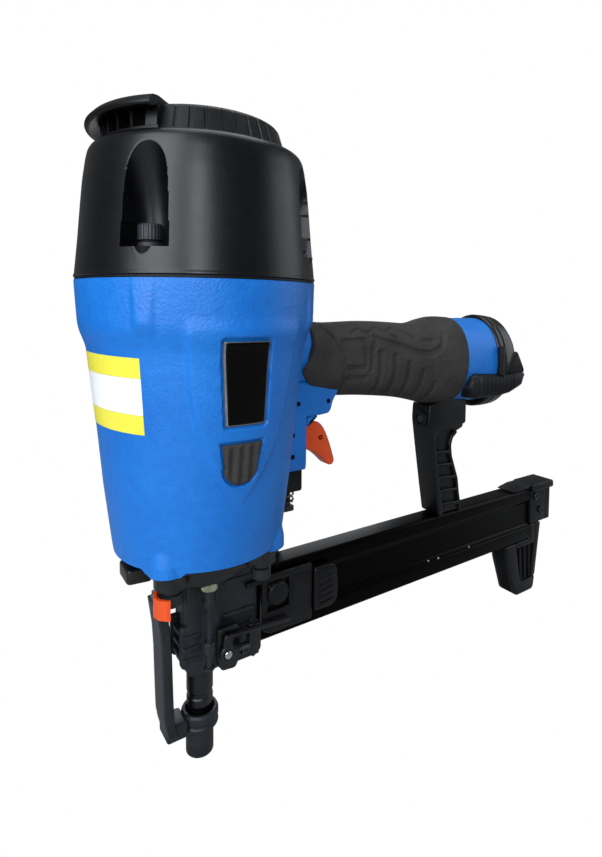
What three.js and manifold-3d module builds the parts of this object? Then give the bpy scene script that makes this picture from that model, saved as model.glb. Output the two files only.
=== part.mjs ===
// Air-powered pin nailer with a straight magazine, in millimetres, +Z up.
// Everything is laid out in the tool's own frame: the driver axis is Z, the nose tip is z = 0,
// the handle and the magazine run towards +X. A last group moves the middle of the base to the origin.
import * as THREE from "three";
import { mergeVertices } from "three/addons/utils/BufferGeometryUtils.js";
import Module from "manifold-3d";

const wasm = await Module();
wasm.setup();

// ---- Clearances ----
const gap = 0.3; // between pieces that rest on each other
const slideGap = 0.4; // beside pieces that slide or turn
const overcut = 1; // how far a cutter runs past the face it opens

// ---- Sides of round shapes, by size ----
const bigRound = 32;
const midRound = 20;
const smallRound = 12;
const tinyRound = 8;

// ---- Driving dimensions: motor ----
const seamZ = 244; // joint between housing and cap
const housingBottomZ = 115;
const housingSeamR = 58; // outer radius of the drum at the joint
const housingBottomR = 41.6;
const housingWall = 4.6;
const housingFloor = 6;
const shoulderZ = 214.5; // where the drum starts above the taper
const drumZ = 221;
const capHeight = 61; // cap above the joint
const capTopR = 50.9;
const capCavityR = 35;
const capRoof = 9;
const capBoltCircleR = 50;
const capBoltHeadR = 5.2;
const capBoltSeat = 12; // seat height above the joint
const boltChannelR = 9.4;
const channelLean = 0.25; // outwards, per millimetre of height
const boltShankR = 3;
const boltCount = 4;
const sleeveR = 25; // cylinder bore
const sleeveWall = 3;
const pistonThickness = 10;
const driverR = 3.1;
const driverTipZ = 92;
const driverStroke = 90;
const bumperHeight = 13.4;
const headValveThickness = 10;
const deflectorR = 42.6;
const deflectorTopR = 34;
const deflectorHeight = 14.5;
const deflectorWall = 2.4;
const lipR = 53;
const mouthHalfAngle = Math.PI / 4;

// ---- Driving dimensions: nose ----
const noseBoltCircleR = 33;
const noseBoltHeadR = 5.6;
const noseBoltHeadHeight = 8.8; // with its washer face
const lobeDepth = 4.7; // the plate's bolt lobes below its underside
const basePlateThickness = 5.4;
const noseHalfWidth = 12;
const columnHalfWidth = 9;
const columnBottomZ = 46;
const driverBoreR = driverR + slideGap;
const barrelR = 6.8;
const barrelTipR = 4.8;
const barrelStepZ = 26;
const barrelTipZ = 9;
const cupR = 7.1;
const cupCollarR = 9.6;
const cupCollarZ = 13;
const cupTopZ = 24;
const armOuterX = -21.5;
const armInnerX = -12.6;
const armHalfWidth = 8;
const armTopZ = 86;
const riserX = 52;
const adjusterX = -1.8;
const adjusterY = -16.8;

// ---- Driving dimensions: handle and trigger ----
const handleAxisZ = 204; // at the driver axis
const handleDroop = THREE.MathUtils.degToRad(2.4);
const gripStartX = 66;
const gripEndX = 177;
const gripR = 22.3;
const bulgeR = 29.6;
const gripThickness = 3;
const handleFlattening = 0.8; // width over height
const handleBoreR = 12;
const endCapX = 204;
const endCapLength = 22;
const endCapR = 33;
const portR = 9; // air inlet
const blockEndX = 58;
const blockHalfWidth = 12;
const blockBottomZ = 142;
const prongEndX = 79;
const prongBottomZ = 171.5;
const triggerSlotHalfWidth = 5.4;
const pivotX = 48.6;
const pivotZ = 162.5;
const valveX = 62;
const valveR = 6;
const valveBottomZ = 171;
const valveTopZ = 188;
const stemR = 2;
const pinR = 1.5;

// ---- Driving dimensions: magazine ----
const railStartX = 30.3;
const railLength = 242;
const railTopZ = 91;
const railHeight = 40.6;
const railHalfWidth = 7.5;
const railWaist = 5.6; // half width between the flanges
const channelHalfWidth = 1.6;
const tongueZ = 72;
const carriageX = 25;
const carriageLength = 38;
const carriageThickness = 3.4;
const rollR = 6.3; // rolled spring
const rollX = 40.5;
const rollZ = 77;
const railEndLength = 28;
const strutTopZ = 168;
const strutHalfWidth = 8.5;
const footBottomZ = 8.3;

// ---- Derived heights ----
const capTopZ = seamZ + capHeight;
const plateTopZ = housingBottomZ - gap;
const plateBottomZ = plateTopZ - basePlateThickness;
const noseTopZ = plateBottomZ - gap;
const boltHeadTopZ = plateBottomZ - lobeDepth - gap;
const floorZ = housingBottomZ + housingFloor;
const railEndX = railStartX + railLength;
const railBottomZ = railTopZ - railHeight;

// ---- Geometry helpers ----

/** Turns a closed BufferGeometry into a solid whose faces point outwards. */
function toSolid(geometry) {
  let bare = geometry.clone();
  bare.deleteAttribute("normal");
  bare.deleteAttribute("uv");
  bare = mergeVertices(bare, 1e-4);
  const corners = new Float32Array(bare.attributes.position.array);
  const faces = [];
  const order = bare.index.array;
  for (let i = 0; i < order.length; i += 3) {
    const [a, b, c] = [order[i], order[i + 1], order[i + 2]];
    if (a !== b && b !== c && c !== a) faces.push(a, b, c);
  }
  let volume = 0;
  const p = (i) => new THREE.Vector3().fromArray(corners, i * 3);
  for (let i = 0; i < faces.length; i += 3) {
    volume += p(faces[i]).dot(p(faces[i + 1]).cross(p(faces[i + 2])));
  }
  if (volume < 0) faces.reverse();
  return new wasm.Manifold(
    new wasm.Mesh({ numProp: 3, vertProperties: corners, triVerts: new Uint32Array(faces) }),
  );
}

/** Turns a solid back into a BufferGeometry. */
function toGeometry(solid) {
  const mesh = solid.getMesh();
  const geometry = new THREE.BufferGeometry();
  geometry.setAttribute("position", new THREE.BufferAttribute(mesh.vertProperties, 3));
  geometry.setIndex(new THREE.BufferAttribute(mesh.triVerts, 1));
  geometry.computeVertexNormals();
  return geometry;
}

const join = (...solids) => solids.reduce((a, b) => a.add(b));
const cut = (solid, ...tools) => tools.reduce((a, b) => a.subtract(b), solid);

/** Geometry of a profile of [radius, height] points turned about Z. */
function turnedGeometry(profile, segments = bigRound) {
  const points = profile.map(([r, z]) => new THREE.Vector2(r, z));
  if (profile[0][0] > 0) points.push(points[0].clone());
  return new THREE.LatheGeometry(points, segments).rotateX(Math.PI / 2);
}

/** Solid of revolution about the upright line through x, y. */
function turned(profile, segments = bigRound, x = 0, y = 0) {
  return toSolid(turnedGeometry(profile, segments).translate(x, y, 0));
}

/** Upright cylinder. */
function post(r, z0, z1, x = 0, y = 0, segments = smallRound) {
  return turned([[0, z0], [r, z0], [r, z1], [0, z1]], segments, x, y);
}

/** Upright tube. */
function tube(inner, outer, z0, z1, x = 0, y = 0, segments = bigRound) {
  return turned([[inner, z0], [outer, z0], [outer, z1], [inner, z1]], segments, x, y);
}

/** Cylinder along Y from y0 to y1. */
function crossPin(r, x, z, y0, y1, segments = tinyRound) {
  const geometry = new THREE.CylinderGeometry(r, r, y1 - y0, segments);
  return toSolid(geometry.translate(x, (y0 + y1) / 2, z));
}

/** Cylinder along X from x0 to x1. */
function longPin(r, x0, x1, y, z, segments = smallRound) {
  const geometry = new THREE.CylinderGeometry(r, r, x1 - x0, segments).rotateZ(Math.PI / 2);
  return toSolid(geometry.translate((x0 + x1) / 2, y, z));
}

/** Box between two corners. */
function box(x0, x1, y0, y1, z0, z1) {
  const geometry = new THREE.BoxGeometry(x1 - x0, y1 - y0, z1 - z0);
  return toSolid(geometry.translate((x0 + x1) / 2, (y0 + y1) / 2, (z0 + z1) / 2));
}

/** Plate whose side view is an outline of [x, z] points, from y0 to y1. */
function sidePlate(outline, y0, y1) {
  const shape = new THREE.Shape(outline.map(([x, z]) => new THREE.Vector2(x, z)));
  const geometry = new THREE.ExtrudeGeometry(shape, { depth: y1 - y0, bevelEnabled: false });
  return toSolid(geometry.rotateX(Math.PI / 2).translate(0, y1, 0));
}

/** Bar along X whose section is an outline of [y, z] points. */
function bar(outline, x0, x1) {
  const shape = new THREE.Shape(outline.map(([y, z]) => new THREE.Vector2(y, z)));
  const geometry = new THREE.ExtrudeGeometry(shape, { depth: x1 - x0, bevelEnabled: false });
  return toSolid(geometry.rotateX(Math.PI / 2).rotateZ(Math.PI / 2).translate(x0, 0, 0));
}

/** Solid of revolution about the handle's sloping axis, from [x, radius] points, flattened in Y. */
function handleShape(profile, segments = midRound) {
  const geometry = turnedGeometry(profile.map(([x, r]) => [r, x]), segments);
  geometry.rotateY(Math.PI / 2).scale(1, handleFlattening, 1);
  return toSolid(geometry.rotateY(handleDroop).translate(0, 0, handleAxisZ));
}

/** A coil's centre line, about Z, along its height. */
class Coil extends THREE.Curve {
  constructor(radius, height, turns) {
    super();
    this.radius = radius;
    this.height = height;
    this.turns = turns;
  }

  getPoint(t, target = new THREE.Vector3()) {
    const a = 2 * Math.PI * this.turns * t;
    return target.set(this.radius * Math.cos(a), this.radius * Math.sin(a), this.height * t);
  }
}

/** Geometry of a coil spring standing on z = 0. */
function coilGeometry(radius, wire, height, turns) {
  const section = new THREE.Shape();
  const sides = 4;
  for (let i = 0; i < sides; i += 1) {
    const a = (2 * Math.PI * i) / sides;
    section[i ? "lineTo" : "moveTo"](wire * Math.cos(a), wire * Math.sin(a));
  }
  return new THREE.ExtrudeGeometry(section, {
    steps: turns * 8,
    bevelEnabled: false,
    extrudePath: new Coil(radius, height - 2 * wire, turns),
  }).translate(0, 0, wire);
}

/** Calls a function for each of the four diagonal bolt places, front near side first. */
function atBolts(radius, make) {
  return Array.from({ length: boltCount }, (_, i) => {
    const a = (5 * Math.PI) / 4 + (i * 2 * Math.PI) / boltCount;
    return make(radius * Math.cos(a), radius * Math.sin(a), a);
  });
}

// ---- Materials ----
const finish = (color, roughness, metalness) => ({ color, roughness, metalness });
const bluePaint = finish(0x2a74cf, 0.42, 0.1);
const blackPlastic = finish(0x17181b, 0.42, 0);
const blackAnodised = finish(0x1d1a1d, 0.32, 0.6);
const darkSteel = finish(0x4a4e52, 0.42, 0.85);
const brightSteel = finish(0xb9bcbf, 0.3, 1);
const zincPlate = finish(0xc9c7b0, 0.35, 0.9);
const darkRubber = finish(0x3b3939, 0.85, 0);
const blackRubber = finish(0x1f2022, 0.8, 0);
const orangePlastic = finish(0xe8591f, 0.45, 0);
const aluminium = finish(0xb4b7ba, 0.4, 0.9);
const meshPad = finish(0xb9a9a2, 0.8, 0.1);

const tool = new THREE.Group();

/** Adds a solid to the tool as a named mesh. */
function addPiece(name, solid, look) {
  const mesh = new THREE.Mesh(toGeometry(solid), new THREE.MeshStandardMaterial(look));
  mesh.name = name;
  tool.add(mesh);
}

// ---- Housing with handle core and trigger block ----
const housingProfile = [
  [housingBottomR, housingBottomZ],
  [45.9, 148],
  [48.3, 173],
  [52.7, 210],
  [53.6, shoulderZ],
  [56.2, drumZ],
  [57.2, 234],
  [housingSeamR, seamZ - gap - 0.5],
];

function housingShell() {
  const top = housingProfile.at(-1)[1];
  const outside = turned([[0, housingBottomZ], ...housingProfile, [0, top]]);
  const ribs = atBolts(54.6, (x, y) => post(4.6, drumZ, top, x, y));
  const bosses = atBolts(noseBoltCircleR + 2.4, (x, y) => post(9, housingBottomZ - 1.8, 141, x, y));
  return join(outside, ...ribs, ...bosses);
}

function housingChamber() {
  const inner = housingProfile.map(([r, z]) => [r - housingWall, Math.max(z, floorZ)]);
  const mouth = [inner.at(-1)[0], seamZ + overcut];
  return turned([[0, floorZ], ...inner, mouth, [0, seamZ + overcut]]);
}

const gripProfile = [
  [gripStartX, gripR - 1],
  [gripStartX + 4, gripR],
  [gripStartX + 30, gripR + 0.4],
  [gripStartX + 62, gripR + 1.6],
  [gripStartX + 80, gripR + 3],
  [gripStartX + 91, bulgeR - 0.6],
  [gripStartX + 101, bulgeR],
  [gripEndX, bulgeR - 0.6],
];

function handleCore() {
  const core = gripProfile.map(([x, r]) => [x, r - gripThickness - gap]);
  const rear = [
    [gripEndX + gap, core.at(-1)[1]],
    [gripEndX + gap, bulgeR - 0.6],
    [endCapX - gap, bulgeR + 1],
    [endCapX - gap, 0],
  ];
  return handleShape([[20, 0], [20, gripR], [gripStartX - gap, gripR - 1.6],
    [gripStartX - gap, core[0][1]], ...core, ...rear]);
}

function mainHousing() {
  const block = box(30, blockEndX, -blockHalfWidth, blockHalfWidth, blockBottomZ, 192);
  const prong = box(blockEndX - 1, prongEndX, -blockHalfWidth, blockHalfWidth, prongBottomZ, 184);
  const gripSpace = handleShape([[gripStartX - gap, 0], ...gripProfile.map(([x, r]) => [x, r + gap]),
    [gripEndX + gap, 0]]);
  const neck = cut(join(block, prong), gripSpace);
  const body = join(housingShell(), handleCore(), neck);
  const triggerSlot = box(44.2, prongEndX + overcut, -triggerSlotHalfWidth, triggerSlotHalfWidth,
    blockBottomZ - overcut, 168.5);
  const holes = [
    housingChamber(),
    handleShape([[25, 0], [25, handleBoreR], [endCapX + overcut, handleBoreR], [endCapX + overcut, 0]]),
    triggerSlot,
    post(valveR + gap, valveBottomZ - 3, valveTopZ + 12, valveX),
    post(9, housingBottomZ - overcut, floorZ + overcut),
    ...pinPlaces.map(([x, z]) => crossPin(pinR + 0.1, x, z, -blockHalfWidth - 1, blockHalfWidth + 1)),
    ...atBolts(capBoltCircleR, (x, y) => post(boltShankR + gap, 226, seamZ, x, y, tinyRound)),
    ...atBolts(noseBoltCircleR, (x, y) => post(boltShankR + gap, housingBottomZ - 3, floorZ + 1, x, y,
      tinyRound)),
  ];
  const inside = atBolts(capBoltCircleR, (x, y) => post(6, 222, housingProfile.at(-1)[1], x, y));
  const [chamber, ...rest] = holes;
  return cut(join(cut(body, chamber), ...inside), ...rest);
}

const valvePins = [[valveX - 10, 179.5], [valveX + 10, 179.5]];
const pinPlaces = [[pivotX, pivotZ], ...valvePins, [pivotX, 150.6]];
addPiece("main_housing", mainHousing(), bluePaint);

["trigger_pivot_pin", "valve_pin_front", "valve_pin_rear", "linkage_pin"].forEach((name, i) => {
  const [x, z] = pinPlaces[i];
  addPiece(name, crossPin(pinR, x, z, -blockHalfWidth + 0.2, blockHalfWidth - 0.2), brightSteel);
});

// ---- Cap, gasket and bolts ----
function capGasket() {
  const ring = tube(capBoltCircleR - 8, housingSeamR - 0.6, seamZ - 0.5, seamZ + 0.5);
  return cut(ring, ...atBolts(capBoltCircleR, (x, y) => post(boltShankR + gap, seamZ - 2, seamZ + 2, x, y,
    tinyRound)));
}

/** Open channel above a bolt's seat: round inside, and leaning outwards so that it closes under the roof. */
function boltChannel(x, y, a) {
  const shape = new THREE.Shape();
  shape.absarc(0, 0, boltChannelR, Math.PI / 2, (3 * Math.PI) / 2);
  shape.lineTo(2 * boltChannelR, -boltChannelR);
  shape.lineTo(2 * boltChannelR, boltChannelR);
  const geometry = new THREE.ExtrudeGeometry(shape, { depth: capHeight, bevelEnabled: false,
    curveSegments: 8 });
  const out = new THREE.Vector3(Math.cos(a), Math.sin(a), 0);
  const across = new THREE.Vector3(-Math.sin(a), Math.cos(a), 0);
  const rise = new THREE.Vector3(channelLean * out.x, channelLean * out.y, 1);
  geometry.applyMatrix4(new THREE.Matrix4().makeBasis(out, across, rise));
  return toSolid(geometry.translate(x, y, seamZ + capBoltSeat));
}

function cylinderCap() {
  const base = seamZ + 0.5 + gap;
  const outside = turned([[0, base], [housingSeamR - 0.2, base], [56, seamZ + 18], [54.5, seamZ + 36],
    [53.6, seamZ + 45.5], [52.2, seamZ + 54.8], [capTopR, capTopZ - 1.5], [capTopR - 2.5, capTopZ],
    [0, capTopZ]]);
  const pads = atBolts(53.4, (x, y) => turned([[0, base], [6.4, base], [4.6, seamZ + capBoltSeat],
    [0, seamZ + capBoltSeat]], smallRound, x, y));
  const channels = atBolts(capBoltCircleR, boltChannel);
  const shanks = atBolts(capBoltCircleR, (x, y) => post(boltShankR + gap, base - 1, capTopZ, x, y,
    tinyRound));
  const ports = Array.from({ length: 6 }, (_, i) => {
    const a = (i * Math.PI) / 3;
    return post(4, capTopZ - capRoof - 1, capTopZ + 1, 20 * Math.cos(a), 20 * Math.sin(a), tinyRound);
  });
  return cut(join(outside, ...pads), post(capCavityR, base - 1, capTopZ - capRoof, 0, 0, bigRound),
    ...channels,
    ...shanks, ...ports, post(2.3, capTopZ - 12, capTopZ + 1, 0, 0, tinyRound));
}

addPiece("cap_gasket", capGasket(), blackRubber);
addPiece("cylinder_cap", cylinderCap(), blackPlastic);
atBolts(capBoltCircleR, (x, y) => {
  const seat = seamZ + capBoltSeat + gap;
  return turned([[0, 228], [boltShankR, 228], [boltShankR, seat], [capBoltHeadR, seat],
    [capBoltHeadR, seat + 2.6], [capBoltHeadR - 0.8, seat + 2.6], [capBoltHeadR - 0.8, seat + 9.4],
    [0, seat + 9.4]], smallRound, x, y);
}).forEach((bolt, i) => addPiece(`cap_bolt_${i + 1}`, bolt, darkSteel));

// ---- Exhaust deflector ----
const deflectorZ = capTopZ + gap;
const deflectorTopZ = deflectorZ + deflectorHeight;

/** Wedge of the mouth's angle, facing -X. */
function mouthWedge(reach, z0, z1) {
  const y = reach * Math.tan(mouthHalfAngle);
  const shape = new THREE.Shape([[0, 0], [-reach, y], [-reach, -y]].map(([a, b]) => new THREE.Vector2(a, b)));
  return toSolid(new THREE.ExtrudeGeometry(shape, { depth: z1 - z0, bevelEnabled: false }).translate(0, 0,
    z0));
}

function exhaustDeflector() {
  const w = deflectorWall;
  const dome = turned([[0, deflectorZ], [deflectorR, deflectorZ], [deflectorR, deflectorZ + 4],
    [deflectorTopR + 2, deflectorTopZ - 1.5], [deflectorTopR, deflectorTopZ], [0, deflectorTopZ]]);
  const hollow = turned([[0, deflectorZ - 1], [deflectorR - w, deflectorZ - 1], [deflectorR - w,
    deflectorZ + 3.4],
    [deflectorTopR, deflectorTopZ - w - 1], [0, deflectorTopZ - w]]);
  const lip = turned([[30, deflectorTopZ - 2.4], [48, deflectorTopZ - 4.4], [lipR - 0.8, deflectorTopZ - 6.4],
    [lipR, deflectorTopZ - 5], [49.5, deflectorTopZ - 1.4], [44, deflectorTopZ - 0.2], [30,
      deflectorTopZ - 0.1]]);
  const sill = tube(deflectorR - 5, 48, deflectorZ, deflectorZ + 1.6);
  const vanes = [-0.55, -0.2, 0.2, 0.55].map((a) => {
    const plate = new THREE.BoxGeometry(7, 1.6, 11).translate(-41, 0, deflectorZ + 6.5).rotateZ(a);
    return toSolid(plate);
  });
  const opening = cut(mouthWedge(60, deflectorZ + 1.6, deflectorTopZ - w - 0.6), post(32, 300, 330, 0, 0,
    midRound));
  const hood = join(lip, sill).intersect(mouthWedge(60, deflectorZ, deflectorTopZ));
  const shell = cut(dome, hollow, opening);
  return cut(join(shell, hood, ...vanes), post(2.3, deflectorZ, deflectorTopZ + 1, 0, 0, tinyRound));
}

addPiece("exhaust_deflector", exhaustDeflector(), blackPlastic);
addPiece("exhaust_filter", tube(28.5, 31.5, deflectorZ + gap, deflectorTopZ - 4.4), meshPad);
addPiece("deflector_screw", turned([[0, capTopZ - 11], [2, capTopZ - 11], [2, deflectorTopZ + gap],
  [5, deflectorTopZ + gap], [4.4, deflectorTopZ + 2.6], [0, deflectorTopZ + 2.6]], smallRound), darkSteel);

// ---- Motor internals ----
const sleeveOuterR = sleeveR + sleeveWall;
const sleeveTopZ = seamZ + 2;
const headValveZ = sleeveTopZ + 0.5;
const pistonBottomZ = driverStroke + floorZ + gap + bumperHeight + gap;

addPiece("cylinder_sleeve", turned([[sleeveR, floorZ + gap], [sleeveOuterR, floorZ + gap],
  [sleeveOuterR, seamZ - 8], [capBoltCircleR - 8, seamZ - 8], [capBoltCircleR - 8, seamZ - 5],
  [sleeveOuterR, seamZ - 5], [sleeveOuterR, sleeveTopZ], [sleeveR, sleeveTopZ]]), aluminium);
addPiece("piston_bumper", tube(driverR + 3, sleeveR - 0.5, floorZ + gap, floorZ + gap + bumperHeight),
  blackRubber);
addPiece("piston_driver", turned([[0, driverTipZ], [driverR, driverTipZ], [driverR, pistonBottomZ],
  [sleeveR - slideGap, pistonBottomZ], [sleeveR - slideGap, pistonBottomZ + 3], [sleeveR - 3,
    pistonBottomZ + 3],
  [sleeveR - 3, pistonBottomZ + 7], [sleeveR - slideGap, pistonBottomZ + 7],
  [sleeveR - slideGap, pistonBottomZ + pistonThickness], [0, pistonBottomZ + pistonThickness]]), brightSteel);
addPiece("piston_ring", tube(sleeveR - 2.8, sleeveR - 0.1, pistonBottomZ + 3.2, pistonBottomZ + 6.8),
  blackRubber);
addPiece("head_valve", tube(10, capCavityR - slideGap, headValveZ,
  headValveZ + headValveThickness), blackPlastic);
const valveSpringHeight = capTopZ - capRoof - headValveZ - headValveThickness - 2 * gap;
addPiece("head_valve_spring", toSolid(coilGeometry(18, 1.5, valveSpringHeight, 5)
  .translate(0, 0, headValveZ + headValveThickness + gap)), brightSteel);

// ---- Base plate, nose bolts and nose ----
function basePlate() {
  const plate = turned([[0, plateBottomZ + 1.5], [housingBottomR - 2, plateBottomZ + 1.5],
    [housingBottomR - 0.4,
    plateBottomZ + 3], [housingBottomR - 0.2, plateTopZ], [0, plateTopZ]]);
  const tab = box(-housingBottomR - 1.4, -housingBottomR + 10, -9, 9, plateBottomZ - 1, plateTopZ);
  const lobes = atBolts(noseBoltCircleR, (x, y) => post(6.6, plateBottomZ - lobeDepth, plateTopZ - 1, x, y));
  const hub = box(-16, 31, -14, 14, plateBottomZ, plateTopZ - 1);
  const bosses = atBolts(noseBoltCircleR + 2.4, (x, y) => post(9 + gap, housingBottomZ - 2.1, plateTopZ + 1,
    x, y));
  const shanks = atBolts(noseBoltCircleR, (x, y) => post(boltShankR + gap, 100, 120, x, y, tinyRound));
  return cut(join(plate, tab, ...lobes, hub), ...bosses, ...shanks, post(driverR + 3, 100, 120));
}

addPiece("base_plate", basePlate(), blackPlastic);
atBolts(noseBoltCircleR, (x, y) => {
  const top = boltHeadTopZ;
  return turned([[0, top - noseBoltHeadHeight], [noseBoltHeadR - 0.8, top - noseBoltHeadHeight],
    [noseBoltHeadR, top - noseBoltHeadHeight + 0.8], [noseBoltHeadR, top - 1.8], [noseBoltHeadR + 0.6,
      top - 1.8],
    [noseBoltHeadR + 0.6, top], [boltShankR, top], [boltShankR, 119], [0, 119]], smallRound, x, y);
}).forEach((bolt, i) => addPiece(`nose_bolt_${i + 1}`, bolt, darkSteel));

function noseBody() {
  const head = box(-12, 29.5, -noseHalfWidth, noseHalfWidth, 92, noseTopZ);
  const column = box(-10, 8, -columnHalfWidth, columnHalfWidth, columnBottomZ, 93);
  const cheeks = box(7, 29.5, -noseHalfWidth + 1.4, noseHalfWidth - 1.4, 70, 93);
  const ribs = [-7.5, -3.5, 0.5].map((x) => box(x - 1.1, x + 1.1, -columnHalfWidth - 1.4,
    -columnHalfWidth + 1,
    columnBottomZ, 67));
  const lug = box(adjusterX - 4, adjusterX + 4, adjusterY - 3.4, -columnHalfWidth + 1, 55, 61);
  const bore = post(driverBoreR, columnBottomZ - 1, noseTopZ + 1);
  const feed = box(0, 31, -channelHalfWidth, channelHalfWidth, 52, 90);
  return cut(join(head, column, cheeks, ...ribs, lug), bore, feed, post(1.7, 54, 62, adjusterX, adjusterY,
    tinyRound));
}

addPiece("nose_body", noseBody(), darkSteel);
addPiece("barrel", turned([[driverBoreR, barrelTipZ], [barrelTipR, barrelTipZ], [barrelTipR, barrelStepZ],
  [barrelR, barrelStepZ], [barrelR, columnBottomZ - gap], [driverBoreR, columnBottomZ - gap]], midRound),
    darkSteel);

// ---- Contact foot and linkage ----
function contactFoot() {
  const cup = turned([[barrelTipR + slideGap, 0], [cupR - 1, 0], [cupR, 1], [cupR, cupCollarZ], [cupCollarR,
    16],
    [cupCollarR, cupTopZ], [barrelR + 1.1, cupTopZ], [barrelR + 1.1, 15.5], [barrelTipR + slideGap, 15.5]],
      midRound);
  const arm = sidePlate([[armInnerX, 22], [armInnerX, armTopZ], [armOuterX + 2, armTopZ], [armOuterX - 1,
    armTopZ - 4],
    [armOuterX - 0.4, 66], [armOuterX + 0.9, 48], [armOuterX + 1.8, 38], [armOuterX + 5, 28], [-9, 16], [-7,
      16]],
    -armHalfWidth, armHalfWidth);
  const clearance = post(barrelR + 1.1, 15.5, 100);
  return join(cut(arm, clearance), cup);
}

addPiece("contact_foot", contactFoot(), darkSteel);

const linkY = noseHalfWidth + 1.6;
const linkThickness = 2.4;
const linkTopZ = 120;
const linkRodR = 2.2;
const guideRoof = 2.2;
const guideTopZ = blockBottomZ - gap;

function contactLink() {
  const strip = box(armOuterX + 1.5, riserX + 3, linkY, linkY + linkThickness, 76, 84);
  const tab = box(armOuterX + 1.5, armInnerX - 0.5, armHalfWidth + gap, linkY + 1, 76, 84);
  const riser = box(riserX - 3, riserX + 3, linkY, linkY + linkThickness, 80, linkTopZ);
  const step = box(riserX - 3, riserX + 3, -3, linkY + 1, linkTopZ - 3, linkTopZ);
  return join(strip, tab, riser, step, post(linkRodR, linkTopZ - 1, linkTopZ + 17, riserX, 0, tinyRound));
}

function linkageGuide() {
  const body = box(riserX - 6, riserX + 6, -7, 7, 129, guideTopZ);
  const pocket = post(5.2, 128, guideTopZ - guideRoof, riserX);
  return cut(body, pocket, post(linkRodR + slideGap, 128, blockBottomZ, riserX, 0, tinyRound));
}

addPiece("contact_link", contactLink(), darkSteel);
addPiece("linkage_guide", linkageGuide(), blackPlastic);
const contactSpringHeight = guideTopZ - guideRoof - linkTopZ - 2 * gap;
addPiece("contact_spring", toSolid(coilGeometry(3.9, 0.6, contactSpringHeight, 6)
  .translate(riserX, 0, linkTopZ + gap)), brightSteel);

// ---- Depth adjuster ----
addPiece("depth_rod", turned([[0, 53.4], [2.8, 53.4], [2.8, 54.6], [1.4, 54.6], [1.4, 61.5], [2.8, 61.5],
  [2.8, 67.5],
  [1.3, 67.5], [1.3, 85], [3.2, 85], [3.2, 89], [2.7, 89], [2.7, 93.2], [0, 93.2]], tinyRound, adjusterX,
    adjusterY),
  darkSteel);
addPiece("depth_nut", turned([[0, 93.6], [3.4, 93.6], [4, 94.4], [4, 98], [3.4, 98.8], [0, 98.8]], smallRound,
  adjusterX, adjusterY), zincPlate);

// ---- Clip on the near front bolt ----
function boltClip() {
  const [x, y] = atBolts(noseBoltCircleR, (a, b) => [a, b])[0];
  const inner = noseBoltHeadR + 0.9;
  const ring = tube(inner, inner + 1.4, 92.4, 101.5, x, y, smallRound);
  const floor = post(inner + 1.4, 92.4, 93.8, x, y);
  const keep = box(x - 10, x - 2.5, y - 10, y + 10, 92, 102);
  return join(ring, floor).intersect(keep);
}
addPiece("bolt_clip", boltClip(), orangePlastic);

// ---- Latch under the feed block ----
const latchX = 9.1;
const latchZ = 56;
const latchPinR = 2.1;

function latchBracket() {
  const near = sidePlate([[4.5, 69], [6, 47], [15.5, 45.5], [17, 60], [15, 69]], -12.6, -10.4);
  const far = sidePlate([[22.5, 66], [29.5, 64], [29.5, 51], [24.5, 47], [22, 50]], -12.6, -10.4);
  const web = box(5.5, 29.5, -10.8, -9.4, 47, 66);
  const floor = box(8.4, 29.5, -10.8, 9.4, 47, 49.4);
  return cut(join(near, far, web, floor), crossPin(latchPinR + 0.2, latchX, latchZ, -13, -9));
}

addPiece("latch_bracket", latchBracket(), darkSteel);
addPiece("latch_pin", crossPin(latchPinR, latchX, latchZ, -16.4, -9.5), brightSteel);
addPiece("latch_spring", toSolid(coilGeometry(2.7, 0.5, 4.4, 4).rotateY(Math.PI / 2).translate(17.4, -16.2,
  57)),
  brightSteel);

function latchLever() {
  const eye = crossPin(4.4, latchX, latchZ, -15.6, -12.9, smallRound);
  const rise = sidePlate([[6.2, 57], [12, 57], [12.5, 66], [7, 66]], -15.6, -12.9);
  const rod = sidePlate([[8, 66], [47, 63], [47, 60.8], [12, 63.2], [8, 63.2]], -14.6, -12.9);
  return cut(join(eye, rise, rod), crossPin(latchPinR + gap, latchX, latchZ, -16, -12, midRound));
}
addPiece("latch_lever", latchLever(), darkSteel);

// ---- Magazine ----
function magazineRail() {
  const w = railHalfWidth;
  const half = [[w, railBottomZ + 1], [w, railBottomZ + 11], [railWaist, railBottomZ + 14],
    [railWaist, railTopZ - 10], [w, railTopZ - 7], [w, railTopZ - 0.8], [w - 0.8, railTopZ]];
  const outline = [[w - 1, railBottomZ], ...half, ...half.toReversed().map(([y, z]) => [-y, z]), [1 - w,
    railBottomZ]];
  const channel = box(railStartX - 1, railEndX + 1, -channelHalfWidth, channelHalfWidth, 53, 88);
  const slot = box(railStartX - 1, railEndX - 12, -w - 1, 0, tongueZ - 2.4, tongueZ + 2.4);
  return cut(bar(outline, railStartX, railEndX), channel, slot);
}

const carriageY = -railHalfWidth - slideGap;

function pusherCarriage() {
  const x1 = carriageX + carriageLength;
  const plate = box(carriageX + 5.6, x1, carriageY - carriageThickness, carriageY, 67.5, railTopZ - 3);
  const lead = box(carriageX + 5.6, x1, carriageY - carriageThickness, carriageY, 58, 68);
  const tongue = box(carriageX + 6, carriageX + 8.6, carriageY - 1, channelHalfWidth - gap, tongueZ - 2,
    tongueZ + 2);
  const window = crossPin(rollR + 0.5, rollX, rollZ, carriageY - 5, carriageY + 1, smallRound);
  return join(cut(join(plate, lead), window), tongue);
}

addPiece("magazine_rail", magazineRail(), blackAnodised);
addPiece("pusher_carriage", pusherCarriage(), blackPlastic);
addPiece("roll_spring", crossPin(rollR, rollX, rollZ, carriageY - carriageThickness - 1, carriageY,
  smallRound),
  darkSteel);

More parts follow.
